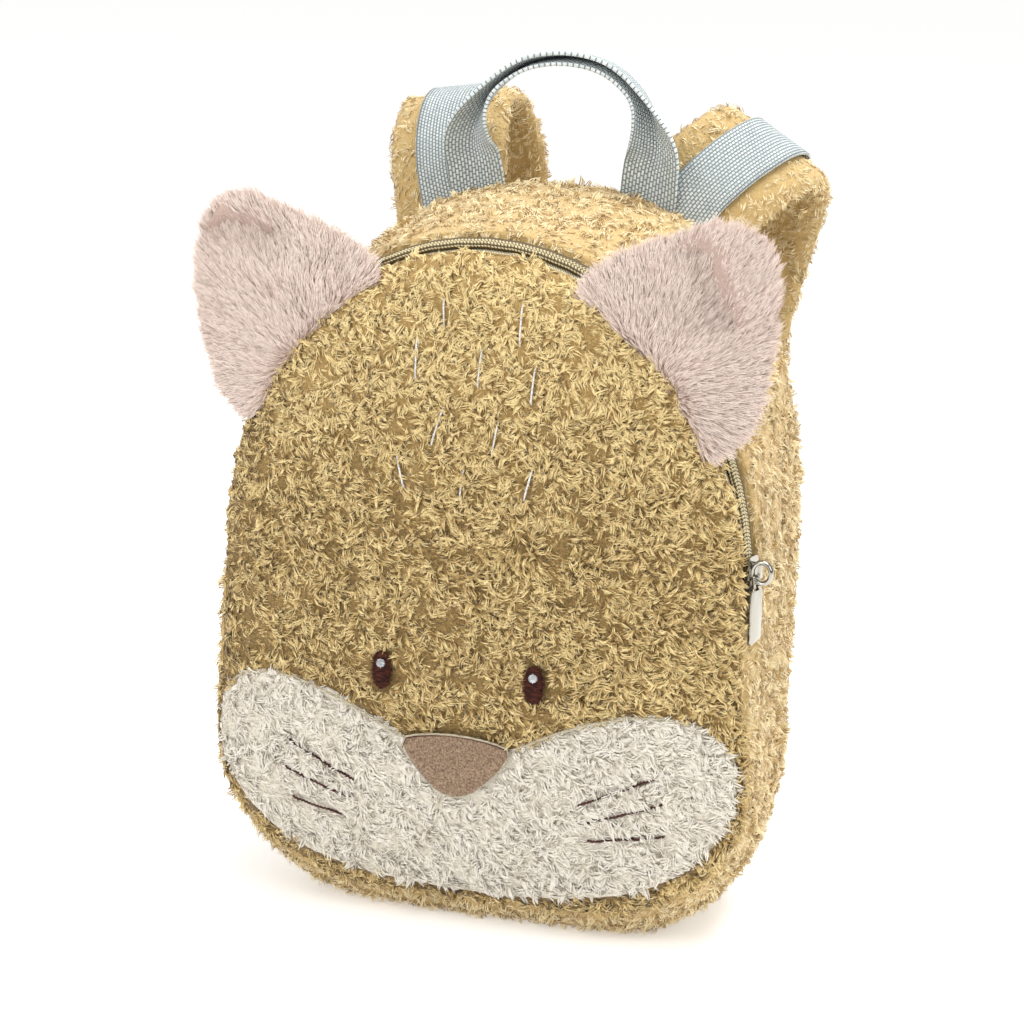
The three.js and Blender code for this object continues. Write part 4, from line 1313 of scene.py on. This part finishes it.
@dataclass
class ZipArch:
    """Coil zip over the arch, with its tapes and its slider."""

    rows: Sequence[CoilRow] = (
        CoilRow(-2.5, 0.0, 0.0, 0.8, -0.5, (1.9, 1.0, 1.0)),
        CoilRow(-0.8, 0.0, 0.35, 1.1, 0.0, (1.6, 0.95, 1.3)),
        CoilRow(0.9, 0.7, 0.35, -1.1, 0.1, (1.6, 0.95, 1.3)),
        CoilRow(2.4, 0.7, -0.1, -0.8, 0.8, (1.7, 0.95, 1.0)),
        CoilRow(2.75, 0.3, -1.5, -0.3, 1.5, (1.5, 0.8, 0.8)),
    )
    pitch: float = 1.5
    below: float = 7.0
    tape_below: float = 13.0
    heart: float = 165.0
    samples: int = 240
    shoulder: float = 0.1575
    neck: float = 1.5
    eye: float = 0.5
    eye_sink: float = 1.6
    foot: float = 2.0
    foot_slant: float = 1.6
    ring_radius: float = 3.9
    ring_wire: float = 0.95
    ring_flat: float = 1.6
    ring_tall: float = 1.12
    ring_turn: float = -0.05
    ring_at: Vector = field(default_factory=lambda: Vector((121.3, -42.4, 163.9)))

    def _line(self, tree: BVHTree, y: float) -> list[tuple[Vector, Vector]]:
        """Outer line of an arched band at one depth.

        Args:
            tree: Search tree of the band.
            y: Depth in metres.

        Returns:
            Points and outward directions from the right end to the left one.
        """
        middle = Vector((0, y, self.heart * MM))
        found = []
        for k in range(self.samples + 1):
            angle = -0.12 + (math.pi + 0.24) * k / self.samples
            way = Vector((math.cos(angle), 0, math.sin(angle)))
            hit, normal = tree.ray_cast(middle + way * 0.3, -way)[:2]
            if hit is not None and normal.dot(way) > 0.4 and (hit - middle).length > 0.08:
                found.append((hit, Vector((normal.x, 0, normal.z)).normalized()))
        return found

    def build(self) -> None:
        """Makes the tapes, the coils and the dressed slider."""
        for word in ("front", "back"):
            self._tape(word)
        self._coils()
        part = dress_node("zip_slider", NICKEL)
        soften = part.modifiers.new("merge", "WELD")
        soften.merge_threshold = 1e-5
        self._rounded(part)
        note(part)
        self._ring()
        self._pull()

    @staticmethod
    def _rounded(part: bpy.types.Object) -> None:
        """Breaks the edges of a casting, as tumbling does."""
        edge = part.modifiers.new("edge", "BEVEL")
        edge.width = 0.25 * MM
        edge.segments = 2
        edge.limit_method = "ANGLE"
        edge.angle_limit = math.radians(40)

    def _pull(self) -> None:
        """Pull tab from its own solid, with a narrow eye above its shoulders and a slanted foot."""
        bm = merged_copy("zip_pull")
        low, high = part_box("zip_pull")
        middle = (low + high) / 2
        for height in (self.shoulder, self.shoulder - self.neck * MM):
            bmesh.ops.bisect_plane(bm, geom=bm.verts[:] + bm.edges[:] + bm.faces[:], dist=1e-6,
                                   plane_co=(0, 0, height), plane_no=(0, 0, 1))
        for vert in bm.verts:
            if vert.co.z > self.shoulder - 1e-6:
                vert.co.y = mix(middle.y, vert.co.y, self.eye)
                vert.co.x = mix(middle.x, vert.co.x, mix(1.0, self.eye, 0.5))
                vert.co.z -= self.eye_sink * MM * smooth(vert.co.z, self.shoulder, high.z)
            elif vert.co.z < low.z + self.foot * MM:
                vert.co.z += self.foot_slant * MM * smooth(vert.co.y, low.y, high.y)
        bmesh.ops.recalc_face_normals(bm, faces=bm.faces)
        tab = from_bmesh(bm, "pull_tab_plate", NICKEL)
        self._rounded(tab)
        fit(tab, "nickel", "zip_pull", body="pull_tab")

    def _tape(self, word: str) -> None:
        """One woven tape, from its own solid, with a map along the arch."""
        node = f"zip_tape_{word}"
        low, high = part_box(node)
        line = [p for p, _ in self._line(solid_tree(node), (low.y + high.y) / 2)]
        bm = merged_copy(node)
        uv = bm.loops.layers.uv.new("weave")
        lengths = [0.0]
        for before, after in zip(line, line[1:]):
            lengths.append(lengths[-1] + (after - before).length / MM)
        self._lengthen(bm, low.z, self.tape_below)
        for face in bm.faces:
            for loop in face.loops:
                near = min(range(len(line)), key=lambda k: (line[k] - loop.vert.co).xz.length)
                loop[uv].uv = ((loop.vert.co.y - low.y) / MM, lengths[near])
        fit(from_bmesh(bm, f"{node}_twill", TAPE), "zip_tape", node)

    def _coils(self) -> None:
        """Two rows of coils that meet in the middle, between the stitches that sew them down."""
        low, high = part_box("zip_chain")
        middle = (low.y + high.y) / 2
        line = self._line(solid_tree("zip_chain"), middle)
        points = [p - n * 0.4 * MM for p, n in line]
        outs = [n for _, n in line]
        for end, inner in ((0, 1), (-1, -2)):
            way = (points[end] - points[inner]).normalized()
            points.insert(end if end == 0 else len(points), points[end] + way * self.below * MM)
            outs.insert(end if end == 0 else len(outs), outs[end])
        steps = stitched_line(points, outs, self.pitch, Vector((1, 1, 1)), 0.0)
        places: list[Matrix] = []
        for step in steps:
            along, across, out = (step.to_3x3().col[k].normalized() for k in range(3))
            for row in self.rows:
                aside = across * row.across + along * row.shift + out * row.rise
                spot = step.translation + aside * MM
                facing = out * math.cos(row.turn) + across * math.sin(row.turn)
                level = across * math.cos(row.turn) - out * math.sin(row.turn)
                places.append(placed(spot, along + level * row.slant, facing, Vector(row.size)))
        fit(strew(stitch_unit(5, 4), places, "zip_coils", COIL), "zip_coil")
        # Painted shade: the chain's core, in dark brown, fills the gaps between the rows of coils with
        # their shade.
        bm = merged_copy("zip_chain")
        self._lengthen(bm, low.z, self.below)
        fit(from_bmesh(bm, "zip_chain_cord", COIL_PAINTED_SHADE), "zip_coil", "zip_chain")

    @staticmethod
    def _lengthen(bm: bmesh.types.BMesh, low: float, more: float) -> None:
        """Draws the lower ends of a band further down, a little inwards, where the seam covers them.

        Args:
            bm: The band.
            low: Its lowest height in metres.
            more: Length to add in millimetres.
        """
        for vert in bm.verts:
            if vert.co.z < low + 2.5 * MM:
                vert.co.z -= more * MM
                vert.co.x -= math.copysign(0.05 * more * MM, vert.co.x)

    def _ring(self) -> None:
        """Flat link through the slider's bridge, seen from its side, that the tab hangs in."""
        bm = bmesh.new()
        profile = bmesh.ops.create_circle(bm, segments=12, radius=self.ring_wire * MM)["verts"]
        bmesh.ops.scale(bm, verts=profile, vec=(1.0, self.ring_flat, 1.0))
        bmesh.ops.translate(bm, verts=profile, vec=(self.ring_radius * MM, 0, 0))
        bmesh.ops.spin(bm, geom=bm.verts[:] + bm.edges[:], cent=(0, 0, 0), axis=(0, 1, 0),
                       angle=math.tau, steps=32, use_merge=True)
        bmesh.ops.remove_doubles(bm, verts=bm.verts, dist=1e-6)
        bmesh.ops.scale(bm, verts=bm.verts, vec=(1.0, 1.0, self.ring_tall))
        bmesh.ops.rotate(bm, verts=bm.verts, cent=(0, 0, 0),
                         matrix=Matrix.Rotation(self.ring_turn, 3, "Z"))
        bmesh.ops.translate(bm, verts=bm.verts, vec=self.ring_at * MM)
        bmesh.ops.recalc_face_normals(bm, faces=bm.faces)
        fit(from_bmesh(bm, "slider_link", NICKEL), "nickel")


def catmull(points: Sequence[Vector], share: float) -> Vector:
    """Point on a centripetal Catmull-Rom curve.

    Args:
        points: Points of the curve.
        share: Place from 0 at the first point to 1 at the last.

    Returns:
        The point.
    """
    last = len(points) - 1
    at = min(max(share, 0.0), 1.0) * last
    k = min(int(at), last - 1)
    weight = at - k
    p1, p2 = points[k], points[k + 1]
    p0 = points[k - 1] if k > 0 else p1 * 2 - p2
    p3 = points[k + 2] if k + 2 <= last else p2 * 2 - p1
    d0, d1, d2 = ((b - a).length ** 0.5 or 1.0 for a, b in ((p0, p1), (p1, p2), (p2, p3)))
    t1 = ((p1 - p0) / d0 - (p2 - p0) / (d0 + d1) + (p2 - p1) / d1) * d1
    t2 = ((p2 - p1) / d1 - (p3 - p1) / (d1 + d2) + (p3 - p2) / d2) * d1
    c2 = (p2 - p1) * 3 - t1 * 2 - t2
    c3 = (p1 - p2) * 2 + t1 + t2
    return p1 + t1 * weight + c2 * weight ** 2 + c3 * weight ** 3


def catmull_way(points: Sequence[Vector], share: float) -> Vector:
    """Direction of the same curve."""
    ahead, behind = min(1.0, share + 1e-4), max(0.0, share - 1e-4)
    return (catmull(points, ahead) - catmull(points, behind)).normalized()


GUSSET_TREE = solid_tree("gusset")


def top_at(x: float, y: float) -> float:
    """Height of the bag's top in millimetres at a place given in millimetres."""
    hit = GUSSET_TREE.ray_cast(Vector((x, min(y, 47.95), 400)) * MM, Vector((0, 0, -1)))[0]
    return hit.z / MM if hit else 300.0


def woven_strip(name: str, place: Callable[[float, float], Vector], width: float, length: float,
                wall: float, columns: int, rows: int) -> bpy.types.Object:
    """Strip of webbing laid by a function, with a millimetre map for its weave.

    Args:
        name: Name of the piece.
        place: Point in millimetres for a share along and a share across from -1 to 1.
        width: Width of the webbing in millimetres.
        length: Its length in millimetres.
        wall: Its thickness in millimetres.
        columns: Faces across.
        rows: Faces along.

    Returns:
        The new piece.
    """
    bm = bmesh.new()
    uv = bm.loops.layers.uv.new("weave")
    bmesh.ops.create_grid(bm, x_segments=columns, y_segments=rows, size=1.0)
    for face in bm.faces:
        for loop in face.loops:
            loop[uv].uv = (loop.vert.co.x * width / 2, (loop.vert.co.y + 1) / 2 * length)
    for vert in bm.verts:
        vert.co = place((vert.co.y + 1) / 2, vert.co.x) * MM
    bm.normal_update()
    obj = from_bmesh(bm, name, WEBBING)
    thick = obj.modifiers.new("wall", "SOLIDIFY")
    thick.thickness = wall * MM
    thick.offset = 0.0
    apply_modifiers(obj)
    return obj


@dataclass
class CarryHandle:
    """Webbing handle, flat in the seam at its feet and folded lengthwise in between."""

    apart: float = 75.0
    rise: float = 58.0
    flare: float = 4.5
    lean: float = 11.0
    fold: float = 0.12
    width: float = 25.0
    wall: float = 1.6
    lay: float = 43.3
    seat: float = 0.8
    length: float = 205.0
    rows: Sequence[Row] = (
        (1, 0, 0, 0), (1, 0.5, 0.17, 0), (1, 1, 0.36, 0.1), (1.06, 0, 0.56, 0.35),
        (0.88, 0, 0.76, 0.7), (0.5, 0, 0.94, 0.95), (0, 0, 1, 1),
    )

    def build(self) -> None:
        """Makes the handle."""
        half = self.apart / 2
        foot = top_at(half, self.lay) + self.seat
        points = [Vector((side * (out * half + flare * self.flare), self.lay + lean * self.lean,
                          foot + rise * self.rise))
                  for side, table in ((1, self.rows), (-1, self.rows[-2::-1]))
                  for out, flare, rise, lean in table]

        def place(share: float, across: float) -> Vector:
            """Point of the webbing's middle layer."""
            middle = catmull(points, share)
            way = catmull_way(points, share)
            side = Vector((way.z, 0, -way.x)).normalized()
            fold = smooth(min(share, 1 - share), 0.03, 0.36)
            opening = mix(math.pi / 2, self.fold, fold)
            reach = abs(across) * self.width / 2
            wing = math.copysign(1.0, across) if across else 0.0
            spread = fold * self.wall / 2 * min(1.0, reach / 1.2)
            point = middle + side * wing * (spread + reach * math.sin(opening))
            point.y -= reach * math.cos(opening)
            sewn = 1 - smooth(min(share, 1 - share), 0, 0.12)
            point.z = mix(point.z, top_at(point.x, self.lay) - 1.0, sewn)
            return point

        strip = woven_strip("carry_handle_webbing", place, self.width, self.length, self.wall, 26, 110)
        fit(strip, "webbing", "carry_handle")


@dataclass
class ShoulderStrap:
    """Padded plush strap with webbing down its outside, an adjuster and a tail."""

    side: Side
    rows: Sequence[Row]
    apart: float = 104.0
    width: float = 57.0
    reach: float = 62.0
    top: float = 303.0
    seam: float = 48.0
    webbing: float = 25.0
    webbing_length: float = 330.0
    webbing_wall: float = 1.3
    pile: Pile = Pile(23, 3.6, 1.8, 1.3, 0.5, 0.8, 8.0, 0.5, hairs=3, hair=0.6, seed=41)

    def _axes(self, share: float) -> tuple[Vector, Vector, Vector]:
        """Middle, across and outward direction of the strap at a share of its route."""
        side = self.side.value
        points = [Vector((side * out * self.apart / 2, self.seam + reach * self.reach, up * self.top))
                  for out, reach, up, _ in self.rows]
        tilts = [Vector((k, tilt, 0)) for k, (*_, tilt) in enumerate(self.rows)]
        way = catmull_way(points, share)
        tilt = math.radians(catmull(tilts, share).y)
        level = Vector((side * math.cos(tilt), 0, -math.sin(tilt)))
        out = (level.cross(way) * side).normalized()
        across = (way.cross(out) * side).normalized()
        return catmull(points, share), across, out

    def _at(self, share: float, across: float, rise: float) -> Vector:
        """Point of the strap in millimetres, across from -1 to 1 and rise above its middle plane."""
        middle, wide, out = self._axes(share)
        point = middle + wide * across * self.width / 2 + out * rise
        sewn = 1 - smooth(share, 0, 0.1)
        x = self.side.value * (self.apart + across * self.width) / 2
        foot = Vector((x, self.seam + 0.3 - rise, top_at(x, min(self.seam, self.seam - rise)) - 0.5))
        return point.lerp(foot, sewn)

    def build(self) -> None:
        """Makes the pad with its pile, the webbing, the tail and the adjuster's finish."""
        word = self.side.word
        under = Clearing(solid_tree(f"strap_webbing_{word}"), 1.1, 0.8)
        pad = SoftShell(f"strap_{word}", f"strap_{word}_cloth", SAND_PAINTED_LIT, voxel=3.2,
                        closed_bag=False, clearings=(under,))
        upholster(pad, self.pile, f"strap_{word}_plush", "sand_plush")

        def lay(share: float, across: float) -> Vector:
            """Point of the webbing's middle layer on the pad."""
            thick = mix(4, 11, smooth(share, 0, 0.12)) * mix(1, 0.5, smooth(share, 0.95, 1))
            return self._at(share, across * self.webbing / self.width, thick / 2 + 0.3 + 0.7)

        strip = woven_strip(f"strap_webbing_{word}_weave", lay, self.webbing, self.webbing_length,
                            self.webbing_wall, 8, 90)
        fit(strip, "webbing", f"strap_webbing_{word}")
        self._tail(word)
        dress_node(f"strap_adjuster_{word}", GREY_PLASTIC)

    def _tail(self, word: str) -> None:
        """Webbing tail, from its own solid, with a map from its upper end."""
        node = f"strap_tail_{word}"
        bm = merged_copy(node)
        uv = bm.loops.layers.uv.new("weave")
        low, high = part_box(node)
        axis = Vector((0, -1, -1)).normalized()
        for face in bm.faces:
            for loop in face.loops:
                spot = (loop.vert.co - high) / MM
                loop[uv].uv = (spot.x, spot.dot(axis))
        fit(from_bmesh(bm, f"{node}_weave", WEBBING), "webbing", node)


STRAP_ROWS = {
    Side.RIGHT: (
        (1, 0.01, 0.962, 26), (1.15, 0.08, 0.997, 32), (1.36, 0.23, 1.035, 35), (1.53, 0.44, 1.056, 34),
        (1.57, 0.65, 1.05, 32), (1.47, 0.84, 1.01, 27), (1.32, 0.97, 0.94, 18), (1.12, 1.02, 0.83, 9),
        (1, 1.03, 0.7, 3), (0.96, 1, 0.55, 0), (1.02, 0.9, 0.415, -3), (1.18, 0.72, 0.3, -6),
    ),
    Side.LEFT: (
        (1, 0.01, 0.962, 20), (1.07, 0.06, 1.003, 12), (1.14, 0.17, 1.053, 9), (1.18, 0.36, 1.09, 8),
        (1.19, 0.58, 1.097, 8), (1.18, 0.8, 1.07, 7), (1.15, 0.95, 1.01, 5), (1.12, 1.03, 0.91, 3),
        (1.1, 1.05, 0.785, 1), (1.1, 1.03, 0.635, 0), (1.13, 0.95, 0.475, -3), (1.28, 0.76, 0.32, -6),
    ),
}


@dataclass
class Studio:
    """White floor, soft lights and the camera of the photograph."""

    azimuth: float = math.radians(21.34)
    elevation: float = math.radians(12.6)
    roll: float = math.radians(0.98)
    distance: float = 1.4777
    target: Vector = field(default_factory=lambda: Vector((-0.00238, -0.00336, 0.1692)))
    focal_px: float = 3479.0
    sky: float = 0.8
    sky_tones: Sequence[tuple[float, str]] = (
        (0.0, "#8a8a88"), (0.06, "#3c3c3c"), (0.16, "#5a5a5a"), (0.28, "#c4c4c4"), (0.6, "#ffffff"),
    )
    floor_glow: float = 0.35
    frame_px: float = 1024.0
    sensor_mm: float = 36.0

    def build(self) -> None:
        """Makes the floor, the lights and the camera."""
        bpy.context.scene.view_settings.view_transform = "Standard"
        self._floor()
        self._light("top", (0.5, 0.35, 1.7), 0.9, 26.0)
        self._light("brow", (0.0, -0.35, 0.56), 0.3, 0.6)
        self._light("right", (1.5, -0.1, 0.8), 0.8, 6.0)
        self._light("front", (-0.9, -1.6, 1.0), 1.0, 12.0)
        self._surroundings()
        self._camera()

    def _surroundings(self) -> None:
        """White backdrop for the eye, and a sky with darker sides for the light and the metal."""
        world = bpy.context.scene.world or bpy.data.worlds.new("studio")
        bpy.context.scene.world = world
        world.use_nodes = True
        tree = world.node_tree
        tree.nodes.clear()
        seen = add_node(tree, "ShaderNodeBackground", values={"Color": (1, 1, 1, 1), "Strength": 1.0})
        way = add_node(tree, "ShaderNodeTexCoord")
        axes = add_node(tree, "ShaderNodeSeparateXYZ", {"Vector": way.outputs["Generated"]})
        sky = ramp_node(tree, axes.outputs["Z"], self.sky_tones)
        light = add_node(tree, "ShaderNodeBackground", {"Color": sky.outputs["Color"]},
                         {"Strength": self.sky})
        path = add_node(tree, "ShaderNodeLightPath")
        both = add_node(tree, "ShaderNodeMixShader", {0: path.outputs["Is Camera Ray"],
                                                      1: light.outputs[0], 2: seen.outputs[0]})
        add_node(tree, "ShaderNodeOutputWorld", {"Surface": both.outputs[0]})

    def _floor(self) -> None:
        """Plain pale floor under the bag."""
        bm = bmesh.new()
        bmesh.ops.create_grid(bm, x_segments=1, y_segments=1, size=6.0)
        material, _, _ = surface("white_floor", Base_Color=linear("#f4f4f3"), Roughness=0.8,
                                 Emission_Color=(1.0, 1.0, 1.0, 1.0), Emission_Strength=self.floor_glow)
        mesh = bpy.data.meshes.new("floor")
        bm.to_mesh(mesh)
        bm.free()
        floor = bpy.data.objects.new("floor", mesh)
        mesh.materials.append(material)
        bpy.context.scene.collection.objects.link(floor)

    @staticmethod
    def _light(name: str, place: tuple[float, float, float], size: float, watts: float) -> None:
        """Square soft light that looks at the middle of the bag.

        Args:
            name: Name of the light.
            place: Its place in metres.
            size: Length of its sides in metres.
            watts: Its power.
        """
        data = bpy.data.lights.new(name, "AREA")
        data.size = size
        data.energy = watts
        lamp = bpy.data.objects.new(name, data)
        lamp.visible_camera = False
        lamp.location = place
        lamp.rotation_euler = (BAG_HEART - Vector(place)).to_track_quat("-Z", "Y").to_euler()
        bpy.context.scene.collection.objects.link(lamp)

    def _camera(self) -> None:
        """Camera at the photograph's angle."""
        a, e, r = self.azimuth, self.elevation, self.roll
        back = Vector((math.sin(a) * math.cos(e), -math.cos(a) * math.cos(e), math.sin(e)))
        level = Vector((math.cos(a), math.sin(a), 0))
        upward = back.cross(level)
        right = level * math.cos(r) + upward * math.sin(r)
        top = upward * math.cos(r) - level * math.sin(r)
        data = bpy.data.cameras.new("camera")
        data.lens = self.sensor_mm * self.focal_px / self.frame_px
        data.sensor_width = self.sensor_mm
        camera = bpy.data.objects.new("camera", data)
        turn = Matrix((right, top, back)).transposed().to_4x4()
        camera.matrix_world = Matrix.Translation(self.target + back * self.distance) @ turn
        bpy.context.scene.collection.objects.link(camera)
        bpy.context.scene.camera = camera


def main() -> None:
    """Builds the backpack's looks, piece by piece, and the studio."""
    logging.basicConfig(level=logging.INFO, format="%(message)s")
    face = EmbroideredFace()
    PlushBody(face).build()
    FurEars().build()
    face.build()
    ZipArch().build()
    CarryHandle().build()
    for side in Side:
        ShoulderStrap(side, STRAP_ROWS[side]).build()
    Studio().build()


if __name__ == "__main__":
    main()
